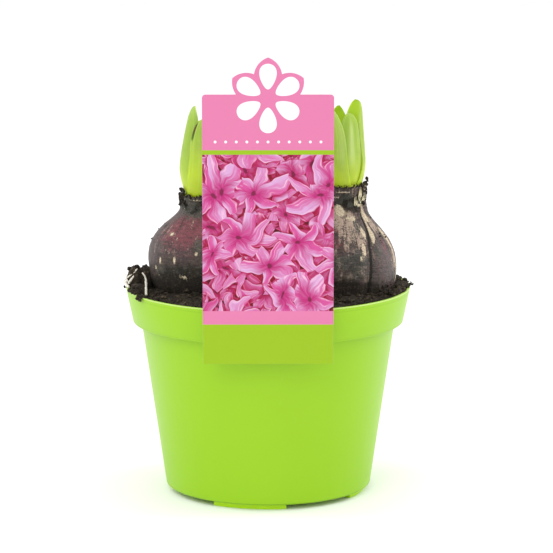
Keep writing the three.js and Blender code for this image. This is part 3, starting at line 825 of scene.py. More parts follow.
RIGHT_MARKS = {
    # Painted shade: a dark line beside the papery skin that peels at the bulb's right side.
    "shade_line": [
        (67, 17, 0.6, 1.6, 0.9), (66, 13.5, 0.5, 2.2, 1.0), (69, 10, 0.5, 2.2, 1.0),
        (71.5, 6.8, 0.5, 2.2, 1.0), (74, 3.5, 0.5, 2.0, 0.9), (78, 0.5, 0.5, 1.6, 0.8),
    ],
    "red": [
        (-4, 14, 3, 3, 0.5), (-7, 20, 2.5, 3, 0.35), (60, 13.4, 2.6, 3.4, 0.55), (66, -2.3, 4, 2.6, 0.4),
        (110, 12, 9, 8, 0.7), (-70, 12, 12, 9, 0.7), (-150, 10, 12, 8, 0.7), (2, -2, 12, 3, 0.5),
        (50, 6, 5, 6, 0.25),
    ],
    "grey": [
        (58, 6, 9, 13, 0.85), (42, 2, 5, 6, 0.6), (130, 5, 12, 9, 0.7), (-110, 6, 12, 9, 0.7),
        (180, 8, 12, 9, 0.7),
    ],
    "slate": [
        (3, 8.4, 11, 2.6, 1.0), (17, 8.4, 5, 2.8, 0.9), (19, 2.6, 5, 2.8, 0.8), (44, 12.2, 2.4, 1.8, 0.8),
        (14, 21.5, 3.0, 3.2, 0.8), (28, 22.5, 2.4, 3.0, 0.9), (80, 0, 9, 4, 0.6), (-60, 3, 12, 4, 0.8),
        (0, 33, 14, 3, 0.8), (70, 17, 1.0, 5, 0.7), (20, 12, 2.5, 3, 0.6), (16, 20, 0.9, 3.5, 0.7),
    ],
    "beige": [
        # The first beige mark is partly a painted sheen on the bulb's upper front.
        (0, 24.5, 4.5, 3.5, 1.0), (14, 25.5, 3, 2, 0.7), (-4, 27.5, 4, 2.5, 0.9), (12, 17, 4, 4, 0.35),
        (26, 16, 2, 6, 0.7), (60, 22, 4, 4, 0.8), (78, 11, 2.4, 8, 1.0), (82, 4, 1.4, 5, 0.9),
        (4, 19, 4, 3, 0.5), (-90, 20, 9, 6, 0.7), (160, 20, 9, 6, 0.7),
    ],
    "cream": [
        (-8, 29.1, 2.0, 2.2, 1.1), (1.3, 27.5, 1.6, 1.3, 1.0), (24, 25, 1.6, 1.4, 1.0),
        (12, 25.5, 1.4, 0.7, 0.7), (33.5, 19.4, 1.1, 2.6, 1.3), (26.5, 13.4, 1.1, 2.8, 1.3),
        (21.5, 9.8, 0.8, 1.6, 0.8), (78, 14, 1.8, 4.5, 0.9), (81, 7, 1.4, 4, 1.0),
        (81, -1, 1.8, 3.5, 1.0), (47, 19, 1.0, 3.2, 0.8), (76, 18.5, 1.4, 2.5, 1.0),
        (62, 25, 1.6, 3, 0.9), (1.2, 36.2, 3.6, 0.38, 1.0), (-8, 34.1, 4.2, 0.38, 0.9),
        (16, 35, 3, 0.3, 0.7), (-55, 18, 1.2, 2.4, 0.9), (140, 14, 1.2, 2.4, 0.9),
    ],
    # Soil on the skin, and painted shade: the marks from height 29.5 to 33 paint the shade under the neck's
    # torn scales.
    "soil_and_shade": [
        (31, 29.5, 4.4, 2.6, 1.0), (19, 30.9, 5.5, 1.4, 0.9), (-4, 31.6, 6, 0.9, 0.8), (5, -2, 17, 3.2, 1.0),
        (45, -6, 9, 3, 0.8), (40, 33, 2.5, 2.5, 0.7), (-30, -2, 14, 4, 0.9), (-70, -5, 14, 4, 0.9),
        (0, 38, 6, 1.2, 0.6), (20, 33, 5, 0.6, 0.6),
    ],
}

# Clods that cling to the skin and the neck. Each: turn, height over the widest level, reach in
# degrees and in millimetres, number, largest radius in millimetres.
LEFT_CLODS = [
    (-78, 28.2, 20, 2.6, 46, 1.25), (-58, 26.4, 12, 1.8, 24, 0.9), (-86, 25.6, 6, 1.8, 14, 0.8),
    (-90, 6.2, 0.5, 0.3, 2, 0.6), (-90, 9.6, 0.5, 0.3, 2, 0.75), (-91, 13.4, 0.5, 0.3, 2, 0.6),
    (-91, 16.2, 0.5, 0.4, 3, 0.8), (0, 28.4, 180, 0.7, 120, 0.6), (-24, 27.2, 14, 1.0, 12, 0.6),
    (120, 27.5, 60, 2.0, 50, 0.9), (0, -10.5, 180, 2.0, 150, 0.9),
]
RIGHT_CLODS = [
    (72, 36.4, 16, 2.6, 40, 1.1), (60, 32.4, 12, 2.0, 22, 0.9), (0, 38.5, 180, 0.7, 130, 0.6),
    (88, 27.5, 8, 2.5, 8, 0.5), (-100, 35, 70, 2.5, 60, 0.9), (66, 21, 14, 6, 14, 0.5),
    (84, 40.2, 4, 0.8, 9, 1.1), (48, 34, 14, 3.5, 26, 0.7),
    (0, -6.5, 180, 2.2, 160, 0.9), (56, -3.5, 14, 2.0, 22, 1.0),
]

BULBS = [
    Bulb("left", -27.2, 2, 97, LEFT_OUTLINE, 8.1, LEFT_RIDGES, None, LEFT_SHOOT, LEFT_MARKS, LEFT_CLODS),
    Bulb(
        "right", 30.6, 2, 91.4, RIGHT_OUTLINE, 9.3, RIGHT_RIDGES, RIGHT_CREASE, RIGHT_SHOOT, RIGHT_MARKS,
        RIGHT_CLODS,
    ),
]
BULB_STEPS = 240
BULB_LINE_STEPS = 7
BULB_SEED = 61
# How strongly folds, dents and tears change the skin and the end of the neck.
FOLD_DEPTH = 0.16
DENT_DEPTH = 0.2
NECK_TEAR = 1.1
# The skin's finish is laid out on a cylinder of this radius.
SKIN_RADIUS = 23.0
# Heights over the widest level: clean skin above the first; below the second, skin covered with soil and
# darkened by painted shade where the bulb turns under.
SOIL_AND_SHADE_LEVELS = (-3.0, -9.0)
# The least radius of a clod.
CLOD_RADIUS = 0.2
# Torn scales of the neck: how many there are, the turns between which they are pale, and the middle
# and reach of their half width and skew in degrees, of their foot from the neck's top, of their
# length and of how far they lean out.
SCALE_COUNT = 34
PALE_SCALE_TURNS = (28, 72)
SCALE_SPAN = (7, 3)
SCALE_SKEW = (0, 12)
SCALE_FOOT = (-7.5, 2.0)
SCALE_LENGTH = (4.6, 1.6)
SCALE_LEAN = (0.6, 0.5)
SCALE_STEPS = 7
SCALE_THICKNESS = 0.22


def skin_noise(outwards, waves, level, roughness=0.9, detail=3):
    """Noise that changes round a bulb and with the level. outwards has a length of 1."""
    place = Vector((outwards.x * waves, outwards.y * waves, level))
    return noise.fractal(place, roughness, 2.1, detail)


def make_bulb(bm, bulb):
    """The bulb's body, with its ridges, its crease and the ragged end of its neck."""
    line = bulb.line(BULB_LINE_STEPS)
    corners = [(max(0, point.x), point.z, 0) for point in line]
    top = bulb.outline[-1][1]
    corners += [(bulb.hole + 0.1, top - 0.1, 0), (bulb.hole - 0.4, top - 5, 0), (0, top - 5, 0)]
    spin_corners(bm, corners, BULB_STEPS)
    layers = {kind: bm.verts.layers.float.new(kind) for kind in MARK_KINDS}
    for vert in bm.verts:
        radius = math.hypot(vert.co.x, vert.co.y)
        if radius < 0.5:
            continue
        turn = turn_of(vert.co)
        height = vert.co.z
        outwards = Vector((vert.co.x, vert.co.y, 0)) / radius
        outer = ease(radius, bulb.hole - 0.2, bulb.hole + 0.8)
        fold = skin_noise(outwards, 6, height * 0.07)
        dent = skin_noise(outwards, 3, height * 0.12 + 7)
        for kind, layer in layers.items():
            vert[layer] = bulb.mark(kind, turn, height, radius)
        change = bulb.change(turn, height, radius) + outer * (FOLD_DEPTH * fold + DENT_DEPTH * dent)
        vert.co.x += outwards.x * change
        vert.co.y += outwards.y * change
        ragged = skin_noise(outwards, 5, 3, 0.8, 4)
        vert.co.z += NECK_TEAR * (ragged - 0.3) * ease(height, top - 3, top)
    bmesh.ops.translate(bm, verts=bm.verts, vec=(bulb.x, bulb.y, bulb.z))


def skin_material(settings, bulb):
    """Dry bulb skin: brown and mauve, with worn patches, papery flakes and soil low down, and with painted
    shade low down, under the neck and in dark lines, a painted sheen, glints and a highlight.
    """
    g = Graph("bulb_skin_" + bulb.side)
    place = g.vector("SUBTRACT", g.place(), (bulb.x, bulb.y, bulb.z))
    x, y, z = g.split(place)
    radius = g.math("SQRT", x * x + y * y + 0.01)
    skin_x = x / radius * SKIN_RADIUS
    skin_y = y / radius * SKIN_RADIUS
    streak = g.noise(g.join(skin_x, skin_y, z * 0.12), 0.8, 4.0, 0.65)
    rings = g.noise(g.join(skin_x * 0.14, skin_y * 0.14, z), 1.5, 4.0, 0.65)
    wrinkles = g.noise(g.join(skin_x * 0.3, skin_y * 0.3, z), 1.0, 3.0, 0.6)
    patchy = g.noise(g.join(skin_x, skin_y, z * 0.7), 0.3, 4.0, 0.6)
    broad = g.noise(place, 0.16, 3.0, 0.6)
    mottle = g.noise(place, 0.45, 5.0, 0.7)
    grain = g.noise(place, 1.6, 5.0, 0.7)
    fine = grain - 0.5
    ragged = (mottle - 0.5) * 2.1 + fine * 1.4 + (rings - 0.5) * 1.0
    torn = (streak - 0.5) * 2.2 + fine * 1.6 + (patchy - 0.5) * 1.4
    dusty, dust, lined = (settings.beige, 0.42, 0.9) if bulb.crease else (settings.grey, 0.2, 0.4)

    def marked(name, low=0.25, high=0.75):
        return g.rise(g.attribute(name) + ragged, low, high)

    grey = marked("grey")
    dust = dust - grey * (dust * 0.8)
    dull = marked("slate")
    worn = g.rise(g.attribute("beige") * 0.85 + torn * 0.85, 0.26, 0.74)
    # Darker towards the bottom: soil on the skin, and painted shade where the bulb turns under.
    low = g.rise(z + (mottle - 0.5) * 18.0 + fine * 8.0, *SOIL_AND_SHADE_LEVELS)
    soil_and_shade = g.math("MAXIMUM", marked("soil_and_shade", 0.3, 0.85), low)
    # Painted glints: tiny pale specks that stand in for light caught by the skin.
    glints = g.rise(g.noise(place, 1.3, 3.0, 0.6, 0.4), 0.69, 0.74)
    peeled = g.attribute("cream") + fine * 1.3 + (streak - 0.5) * 0.9
    cream = g.math("MAXIMUM", g.rise(peeled, 0.38, 0.75), glints * (1.0 - soil_and_shade) * 0.5)
    # Painted shade in the crease and beside the peeling skin.
    shade_line = g.rise(g.attribute("shade_line") + fine * 0.6, 0.45, 0.8)
    earth = g.mix(g.rise(grain + (mottle - 0.5) * 0.6, 0.5, 0.68), settings.soil_and_shade, settings.earth)
    paper = g.mix(g.rise(grain, 0.4, 0.62), settings.beige, settings.cream)
    colour = g.coats(
        settings.mauve,
        (g.rise(broad + ragged * 0.25, 0.38, 0.62), settings.brown),
        (grey * 0.8, settings.grey),
        (marked("red", 0.15, 0.85) * 0.95, settings.red),
        (dull * 0.9, settings.slate),
        (dull * g.rise(rings + fine * 0.5, 0.5, 0.62) * lined, settings.grey),
        (g.rise(patchy + (streak - 0.5) * 0.8, 0.54, 0.72) * dust, dusty),
        (worn * 0.85, settings.beige),
        (g.rise(wrinkles + fine * 0.4, 0.55, 0.7) * dust * 0.7, settings.beige),
        (g.rise(patchy + fine * 0.5, 0.46, 0.28) * 0.8, settings.dark),
        (g.rise(wrinkles + fine * 0.5, 0.46, 0.32) * 0.6, settings.dark),
        (g.rise(rings + fine * 0.7, 0.46, 0.28) * 0.7, settings.dark),
        (g.rise(grain, 0.5, 0.34) * (0.48 - worn * 0.3), settings.dark),
        (soil_and_shade * 0.93, earth),
        (cream, paper),
        (shade_line * 0.95, settings.soil_and_shade),
    )
    roughness = 0.34 + grain * 0.3 + cream * 0.15 + soil_and_shade * 0.4
    height = rings * 0.6 + streak * 0.5 + grain * 0.6 + mottle * 0.6 + cream * 0.3
    return g.surface(colour, roughness, height, 0.6, 0.34)


def scale_material(settings):
    """Torn dry scales, from nearly black to pale straw by the pale attribute."""
    g = Graph("neck_scales")
    place = g.place()
    x, y, z = g.split(place)
    fibre = g.noise(g.join(x, y, z * 0.2), 1.6, 4.0, 0.6)
    pale = g.attribute("pale")
    worn = g.noise(place, 0.9, 4.0, 0.7)
    dry = g.rise(pale + (fibre - 0.5) * 1.0 + (worn - 0.5) * 2.0, 0.45, 0.8)
    colour = g.coats(settings.dark, (fibre, settings.slate), (dry, settings.cream))
    return g.surface(colour, 0.75 - fibre * 0.2, fibre, 0.2, 0.35)


def make_neck_scales(bm, bulb, rng):
    """Thin torn strips that peel off the neck. Some of those that face the right front are pale."""
    pale = bm.verts.layers.float.new("pale")
    first_pale, last_pale = PALE_SCALE_TURNS
    for i in range(SCALE_COUNT):
        turn = 360 / SCALE_COUNT * (i + spread(rng, 0, 0.5))
        span = spread(rng, *SCALE_SPAN)
        foot = bulb.neck_top + spread(rng, *SCALE_FOOT)
        length = spread(rng, *SCALE_LENGTH)
        lean = spread(rng, *SCALE_LEAN)
        skew = spread(rng, *SCALE_SKEW)
        ragged = math.tau * rng.random()
        is_pale = bulb.crease and first_pale < turn < last_pale
        tone = spread(rng, 0.75, 0.2) if is_pale else 0.25 * rng.random()
        before = len(bm.verts)

        def place(q, s):
            tear = 1 - 0.3 * s * (1 + math.sin(6 * q + ragged) * math.sin(11 * q + 2 * ragged))
            out = bulb.neck_radius + 0.1 + lean * s * s + 0.35 * ease(s, 0, 0.3)
            width = span * q * (1 - 0.6 * s * s)
            return bulb.axis + around(turn + width + skew * s, out, foot + length * s * tear)

        thick_sheet(bm, SCALE_STEPS, SCALE_STEPS, place, SCALE_THICKNESS)
        bm.verts.ensure_lookup_table()
        for vert in bm.verts[before:]:
            vert[pale] = tone
    bmesh.ops.recalc_face_normals(bm, faces=bm.faces)


# Shoots: broad hooded leaves round a core of leaves that are still closed

LEAF_THICKNESS = 1.6
LEAF_EDGE_THICKNESS = 0.5
LEAF_FOOT_DEPTH = 3.0
LEAF_SHEATH = 1.16
LEAF_SWELL_START = 0.06
LEAF_HOOD = 1.6
HOOD_START = 0.86
TAPER_START = 0.4
LEAF_TIP_SHARE = 0.08
LEAF_ACROSS = 22
LEAF_ALONG = 56
CORE_STEPS = 72
# The leaf's own coordinates run across it from -1 to 1 and along it from 0 to 1. On its inner face
# they are shifted sideways by this.
INNER_SHIFT = 4.0
# The dead margin of one leaf, with painted shade along its lower part: its middle and half its reach,
# upwards and sideways.
SCORCH_AND_SHADE_LEVEL = (153.5, 6.5)
SCORCH_AND_SHADE_PLACE = (-31.0, 3.2)
# Heights from which the yellow foot goes and the other finishes come in.
LEAF_FOOT_LEVELS = (150.0, 132.0)
BAND_LEVELS = (134.0, 144.0)
RIB_LEVELS = (136.0, 142.0)
MARGIN_LEVELS = (140.0, 150.0)
# Heights over which the painted shade along the margin turns to scorched.
SCORCH_OVER_SHADE_LEVELS = (148.0, 154.0)
# Where the painted highlight along the keel comes in, across x.
KEEL_HIGHLIGHT_PLACES = (28.0, 31.0)


def leaf_point(bulb, leaf, q, rise, inner):
    """A point of a leaf's back, or with inner of 1 of its inner face."""
    turn, mid, tip, top, half_width, cup, blunt, point, peak = leaf
    base = bulb.shoot["base"]
    s = 1 - (1 - rise) ** 1.25
    outermost = max(other[1] for other in bulb.shoot["leaves"])
    low = base - 0.2 - 0.6 * (outermost - mid)
    hooded = max(0, (s - HOOD_START) / (1 - HOOD_START))
    lean = max(0, (s - peak) / (1 - peak)) ** 1.35
    back = blend(low, mid, math.sqrt(ease(s, LEAF_SWELL_START, peak)))
    back += lean * (tip + LEAF_HOOD - mid)
    back -= LEAF_HOOD * (1 - math.sqrt(max(0, 1 - hooded * hooded)))
    taper = (1 - (max(0, s - TAPER_START) / (1 - TAPER_START)) ** blunt) ** point
    half = blend(LEAF_SHEATH * base, half_width, ease(s, 0.1, 0.6)) * max(LEAF_TIP_SHARE, taper)
    bend = blend(back, min(cup, back), ease(s, 0.1, 0.8))
    thick = blend(LEAF_THICKNESS, LEAF_EDGE_THICKNESS, max(q ** 4, ease(s, 0.6, 1)))
    angle = q * half / bend
    radius = bend - inner * thick
    local = Vector((radius * math.sin(angle), bend - back - radius * math.cos(angle), 0))
    turned = Matrix.Rotation(math.radians(turn), 3, "Z") @ local
    foot = bulb.neck_top - LEAF_FOOT_DEPTH
    return turned + Vector((bulb.x, bulb.y, blend(foot, top, s)))


def make_leaf(bm, bulb, leaf, uv, number):
    """A leaf from two sheets that are joined round their border. Its number is a tenth of its turn."""
    outer = shaped_sheet(bm, LEAF_ACROSS, LEAF_ALONG, lambda q, s: leaf_point(bulb, leaf, q, s, 0))
    inner = shaped_sheet(bm, LEAF_ACROSS, LEAF_ALONG, lambda q, s: leaf_point(bulb, leaf, q, s, 1))
    faces = {face for vert in inner for face in vert.link_faces}
    bmesh.ops.reverse_faces(bm, faces=list(faces))
    bmesh.ops.bridge_loops(bm, edges=[*rim_edges(outer), *rim_edges(inner)])
    places = {**outer, **inner}
    for face in {face for vert in places for face in vert.link_faces}:
        for loop in face.loops:
            q, s = places[loop.vert]
            loop[uv].uv = (q + (INNER_SHIFT if loop.vert in inner else 0), s)
    for vert in places:
        vert[number] = leaf[0] / 10


def make_core(bm, bulb):
    """The leaves in the middle, which are still closed round each other."""
    base = bulb.shoot["base"]
    top = bulb.shoot["core_top"]
    rise = top - bulb.neck_top
    outline = [
        (base, 0, bulb.neck_top - 6),
        (base, 0, bulb.neck_top - 1.5),
        (base - 1, 0, bulb.neck_top + 0.12 * rise),
        (base - 0.8, 0, bulb.neck_top + 0.5 * rise),
        (base * 0.6, 0, bulb.neck_top + 0.85 * rise),
        (0, 0, top),
    ]
    core = bmesh.new()
    line = smooth_line(outline, 5)
    corners = [(0, bulb.neck_top - 6, 0)] + [(max(0, point.x), point.z, 0) for point in line]
    spin_corners(core, corners, CORE_STEPS)
    bmesh.ops.translate(core, verts=core.verts, vec=bulb.axis)
    add_part(bm, core)


def leaf_material(settings):
    """Waxy leaf: yellow at the foot, pale and dark bands along it, a lime inner face, a painted highlight
    along the keel and painted shade below one scorched margin.
    """
    g = Graph("waxy_leaf")
    shifted, along, _ = g.split(g.out(g.node("ShaderNodeUVMap", {"uv_map": "leaf"})))
    inside = g.rise(shifted, INNER_SHIFT * 0.45, INNER_SHIFT * 0.55)
    across = shifted - inside * INNER_SHIFT
    number = g.attribute("leaf_number")
    place = g.place()
    x, _, z = g.split(place)
    veins = g.noise(g.join(across * 14.0, along * 0.8, number), 1.4, 3.0, 0.6)
    bands = g.noise(g.join(across * 1.5, along * 0.35, number), 1.5, 2.0, 0.5)
    stripes = g.noise(g.join(across * 4.5, along * 0.25, number * 1.7), 1.5, 2.0, 0.5)
    cloud = g.noise(place, 0.09, 3.0)
    left = g.rise(x, 0.0, -1.0)
    front = left * g.rise(number, -0.5, 0.5)
    foot = g.rise(z + cloud * 10.0 - front * 8.0, *LEAF_FOOT_LEVELS)
    upper = g.rise(z, *BAND_LEVELS)
    edge = g.rise(abs(across), 0.88, 0.99) * g.rise(z, *MARGIN_LEVELS)
    ribs = g.peak(across, 0.08, 0.16) + g.peak(across, 0.56, 0.14)
    # A painted highlight along the keel, over a pale waxy bloom.
    keel_highlight_and_bloom = g.peak(across, 0.1, 0.34) * upper * g.rise(along, 0.95, 0.7)
    scorch_and_shade_line = g.peak(z, *SCORCH_AND_SHADE_LEVEL) * g.peak(x, *SCORCH_AND_SHADE_PLACE) * g.rise(across, -0.79, -0.88)
    scorch_and_shade_line = g.rise(scorch_and_shade_line, 0.05, 0.4)
    # Painted shade along the margin low down, turning to the scorched colour higher up.
    scorch_and_shade_colour = g.mix(g.rise(z, *SCORCH_OVER_SHADE_LEVELS), settings.shade_colour, settings.scorched_colour)
    colour = g.coats(
        settings.leaf_colour,
        (g.rise(cloud, 0.35, 0.65), settings.deep_colour),
        (g.rise(bands, 0.5, 0.38) * upper * 0.6, settings.deep_colour),
        (g.rise(bands, 0.5, 0.66) * upper * 0.3, settings.pale_colour),
        (g.rise(stripes, 0.5, 0.36) * upper * (0.35 + left * 0.4), settings.deep_colour),
        (g.rise(stripes, 0.56, 0.68) * upper * 0.3, settings.pale_colour),
        (ribs * left * g.rise(z, *RIB_LEVELS) * 0.4, settings.rib_colour),
        (keel_highlight_and_bloom * g.rise(x, *KEEL_HIGHLIGHT_PLACES) * 0.75, settings.pale_colour),
        (left - front * 0.65, settings.deep_colour),
        (foot * 0.85, settings.foot_colour),
        (g.rise(veins, 0.5, 0.72) * 0.2, settings.pale_colour),
        (edge * 0.3, settings.pale_colour),
        (inside * 0.85, settings.inner_colour),
        (scorch_and_shade_line * 0.95, scorch_and_shade_colour),
    )
    constants = {
        "Subsurface Weight": 0.3,
        "Subsurface Radius": (0.6, 1.0, 0.2),
        "Subsurface Scale": 0.002,
        "Coat Weight": 0.1,
        "Coat Roughness": 0.3,
    }
    return g.surface(colour, 0.42 + veins * 0.12 + scorch_and_shade_line * 0.4, veins, 0.08, 0.4, constants)


# Label: a printed card in front of the rim, held by a tongue over the rim and a stake in the soil

(_, CARD_FRONT, _), (CARD_HALF, _, EMBLEM_TOP) = packed_box("label")
CARD_FOOT = 65.6
CARD_SHOULDER = 174.5
CARD_CORNER = 1.4
CARD_THICKNESS = 0.8
CARD_BACK = CARD_FRONT + CARD_THICKNESS
CARD_EDGE = 0.12
CARD_SHARP = 20
EMBLEM_RADIUS = 16.3
EMBLEM_CENTRE = EMBLEM_TOP - EMBLEM_RADIUS
EMBLEM_PETALS = 6
PETAL_HALF = 6.2
PETAL_CURVE = [(0, 0.25), (0.3, 1.25), (0.85, 1.1), (1, 0)]
STAKE_WIDTH = 14.0
STAKE_THICKNESS = 0.9
STAKE_TIP = 50.0
STAKE_TIP_SHARE = 0.35
STAKE_INSET = 1.6
STAKE_SLOPE = 0.4
TONGUE_GAP = 0.3
PICTURE_FOOT = 87.3
PICTURE_TOP = 150.5
STRIPE_TOP = 152.3
GREEN_TOP = 81.8
PRINT_PETAL_FOOT = 3.6
PRINT_PETAL_LENGTH = 10.2
PRINT_PETAL_HALF = 9.0
DOT_LEVEL = 155.6
DOT_RADIUS = 0.56
DOT_SPACING = 4.2
DOT_ROW_HALF = 22.3
DOT_EDGE = 0.06
PRINT_SWAY = 9.0
PRINT_EDGE = 0.05
# The angle of one petal, in the emblem and in the florets.
SECTOR = math.tau / EMBLEM_PETALS
# Layers of florets in the picture, from the deepest. Each: its part of the random pattern, the
# distance between florets, the length of a petal, the cells' feature and how light the layer is.
FLORET_LAYERS = [
    (1, 9.0, 9.0, "F1", 0.35),
    (2, 10.0, 11.5, "F2", 0.5),
    (3, 11.5, 12.0, "F1", 0.7),
    (4, 16.0, 15.0, "F2", 0.85),
    (5, 19.0, 15.5, "F1", 1.0),
]


def petal_outline(turn, steps):
    """A petal's outline from its foot to its tip and back, as (x, z) round the emblem's centre."""
    along = Vector((math.sin(math.radians(turn)), math.cos(math.radians(turn))))
    across = Vector((-along.y, along.x))

    def side(sign):
        for forward, sideways in PETAL_CURVE:
            yield along * forward * EMBLEM_RADIUS + across * sign * sideways * PETAL_HALF

    there = geometry.interpolate_bezier(*side(1), steps)
    back = geometry.interpolate_bezier(*reversed([*side(-1)]), steps)
    return there + back[1:]


def emblem_reach(angle):
    """How far the emblem reaches from its centre in a direction, which is an angle from upright."""
    reach = 0.0
    for petal in (-1, 0, 1):
        turn = 360 / EMBLEM_PETALS * petal
        line = petal_outline(turn, 40)
        for a, b in zip(line, line[1:]):
            start = math.degrees(math.atan2(a.x, a.y))
            end = math.degrees(math.atan2(b.x, b.y))
            if start <= angle <= end or end <= angle <= start:
                share = (angle - start) / (end - start) if end != start else 0
                reach = max(reach, blend(a.length, b.length, share))
    return reach


def card_outline():
    """The card's outline with the emblem's petals above its shoulder, as (x, z) points."""
    arc = [math.radians(90 * i / 6) for i in range(7)]
    inside = CARD_HALF - CARD_CORNER
    level = CARD_SHOULDER - CARD_CORNER
    left = [(-inside - CARD_CORNER * math.cos(a), level + CARD_CORNER * math.sin(a)) for a in arc]
    right = [(inside + CARD_CORNER * math.sin(a), level + CARD_CORNER * math.cos(a)) for a in arc]
    petals = []
    for step in range(-100, 101):
        angle = math.radians(step)
        reach = emblem_reach(step)
        point = (reach * math.sin(angle), EMBLEM_CENTRE + reach * math.cos(angle))
        if point[1] > CARD_SHOULDER + 0.05:
            petals.append(point)
    feet = [(petals[0][0], CARD_SHOULDER), (petals[-1][0], CARD_SHOULDER)]
    foot = [(CARD_HALF, CARD_FOOT), (-CARD_HALF, CARD_FOOT)]
    return left + [feet[0]] + petals + [feet[1]] + right + foot


def make_card(bm):
    """The card with softened edges."""
    face = bm.faces.new([bm.verts.new((x, CARD_FRONT, z)) for x, z in card_outline()])
    verts = verts_in(bmesh.ops.extrude_face_region(bm, geom=[face])["geom"])
    bmesh.ops.translate(bm, verts=verts, vec=(0, CARD_THICKNESS, 0))
    bmesh.ops.recalc_face_normals(bm, faces=bm.faces)
    flats = [face for face in bm.faces if len(face.verts) > 8]
    bevel(bm, [edge for face in flats for edge in face.edges], CARD_EDGE, 2)


def make_stake(bm):
    """The tongue over the rim and the stake behind it, in one bent strip."""
    tongue = POT_HEIGHT + TONGUE_GAP + STAKE_THICKNESS / 2
    inner = -(RIM_RADIUS - POT_WALL - STAKE_INSET)
    path = [
        (0, CARD_BACK - CARD_THICKNESS / 2, tongue),
        (0, inner - 1.2, tongue),
        (0, inner + 0.2, tongue - 0.9),
        (0, inner + STAKE_SLOPE * (tongue - STAKE_TIP), STAKE_TIP),
    ]
    line = smooth_line(path, 8)

    def place(q, s):
        point = line[round(s * (len(line) - 1))]
        taper = blend(STAKE_TIP_SHARE, 1, ease(point.z, STAKE_TIP - 1, STAKE_TIP + 9))
        return point + Vector((q * STAKE_WIDTH / 2 * taper, 0, 0))

    part = bmesh.new()
    thick_sheet(part, 4, len(line) - 1, place, STAKE_THICKNESS)
    add_part(bm, part)


def petal_place(g, reach, turn):
    """How far a point lies along and across the petal that it is on, and the petal's number."""
    sector = turn * (1 / SECTOR)
    number = g.math("FLOOR", sector)
    local = (sector - number - 0.5) * SECTOR
    return reach * g.math("COSINE", local), reach * g.math("SINE", local), number


def floret_layer(g, place, seed, spacing, length, feature):
    """One layer of the picture: six-petalled florets at random places, sizes and turns."""
    shifted = g.vector("ADD", place, (13.7 * seed, 7.3 * seed, 0.0))
    cells = g.cells(shifted, 1 / spacing, feature, "2D")
    chance, chance_two, chance_three = g.split(g.out(cells, "Color"))
    lean = chance_two * math.tau
    dx, dz, _ = g.split(g.vector("SUBTRACT", shifted, g.out(cells, "Position")))
    cosine = g.math("COSINE", lean)
    sine = g.math("SINE", lean)
    px = dx * cosine + dz * sine
    pz = (dz * cosine - dx * sine) * (1.0 + chance_three * 0.9)
    reach = g.distance(px, pz)
    curl = (chance - 0.5) * 0.16
    turn = g.math("ARCTAN2", pz, px) + chance * math.tau + reach * curl
    forward, sideways, number = petal_place(g, reach, turn)
    # A number for each petal that looks random
    odd = g.math("FRACT", g.math("SINE", number * 12.9 + chance * 78.2) * 43.7)
    u = forward / (length * (0.7 + odd * 0.45))
    arch = g.math("SQRT", g.math("MAXIMUM", u * (1.02 - u), 0.0))
    half = arch * (0.35 + odd * 0.15) * length * (1.2 - u * 0.5)
    v = sideways / (half + 0.02)
    off = abs(v)
    return {
        "u": u,
        "v": v,
        "off": off,
        "inside": g.rise(off, 1.0, 0.84),
        "shadow": g.rise(off, 2.3, 0.8) * g.rise(u, 1.3, 0.85),
        "odd": odd,
        "reach": reach,
        "fibre": g.noise(g.join(v * 1.6 + number * 3.1, u * 0.9, chance * 40.0), 2.2, 3.0, 0.6),
    }


def paint_floret(g, under, layer, settings, light):
    """Paints a layer over the colour under it, with the soft shadow that it throws."""
    u, v, off, odd, fibre = (layer[key] for key in ("u", "v", "off", "odd", "fibre"))
    tone = v * (odd - 0.5) * 2.6 + (fibre - 0.5) * 1.15 + (odd - 0.5) * 0.8
    groove = g.rise(off, 0.22, 0.0) * g.rise(u, 1.0, 0.3) * odd
    margin = g.peak(off, 0.82, 0.16) * g.rise(u, 0.2, 0.6) * g.rise(fibre, 0.35, 0.55)
    shine = g.rise(fibre + odd * 0.1, 0.62, 0.74) * g.rise(u, 0.3, 0.5)
    colour = g.coats(
        settings.petal_colour,
        (g.rise(tone, -0.5, 0.5), settings.lilac_colour),
        (g.rise(u + (fibre - 0.5) * 0.5, 0.5, 0.1) * 0.95, settings.throat_colour),
        (groove * 0.7, settings.petal_colour),
        (g.math("MAXIMUM", margin, shine) * 0.85, settings.margin_colour),
        (g.rise(layer["reach"], 1.5, 0.6) * 0.85, settings.gap_colour),
    )
    colour = g.mix(1.0 - light, colour, settings.dusk_colour, "MULTIPLY")
    shaded = g.mix(layer["shadow"] * 0.95, under, settings.dusk_colour, "MULTIPLY")
    return g.mix(layer["inside"], shaded, colour)


def paint_picture(g, x, z, settings):
    """The picture: layers of florets, with a slow sway in their shapes."""
    flat_place = g.join(x, z, 0.0)
    sway = g.node("ShaderNodeTexNoise", None, {"Vector": flat_place, "Scale": 0.09, "Detail": 2.0})
    waver = g.vector("SUBTRACT", g.out(sway, "Color"), (0.5, 0.5, 0.5))
    bent = g.vector("ADD", flat_place, g.vector("MULTIPLY", waver, [PRINT_SWAY] * 3))
    glow = g.noise(flat_place, 0.16, 3.0)
    picture = g.mix(g.rise(glow, 0.44, 0.56), settings.gap_colour, settings.throat_colour)
    for seed, spacing, length, feature, light in FLORET_LAYERS:
        layer = floret_layer(g, bent, seed, spacing, length, feature)
        picture = paint_floret(g, picture, layer, settings, light)
    return picture


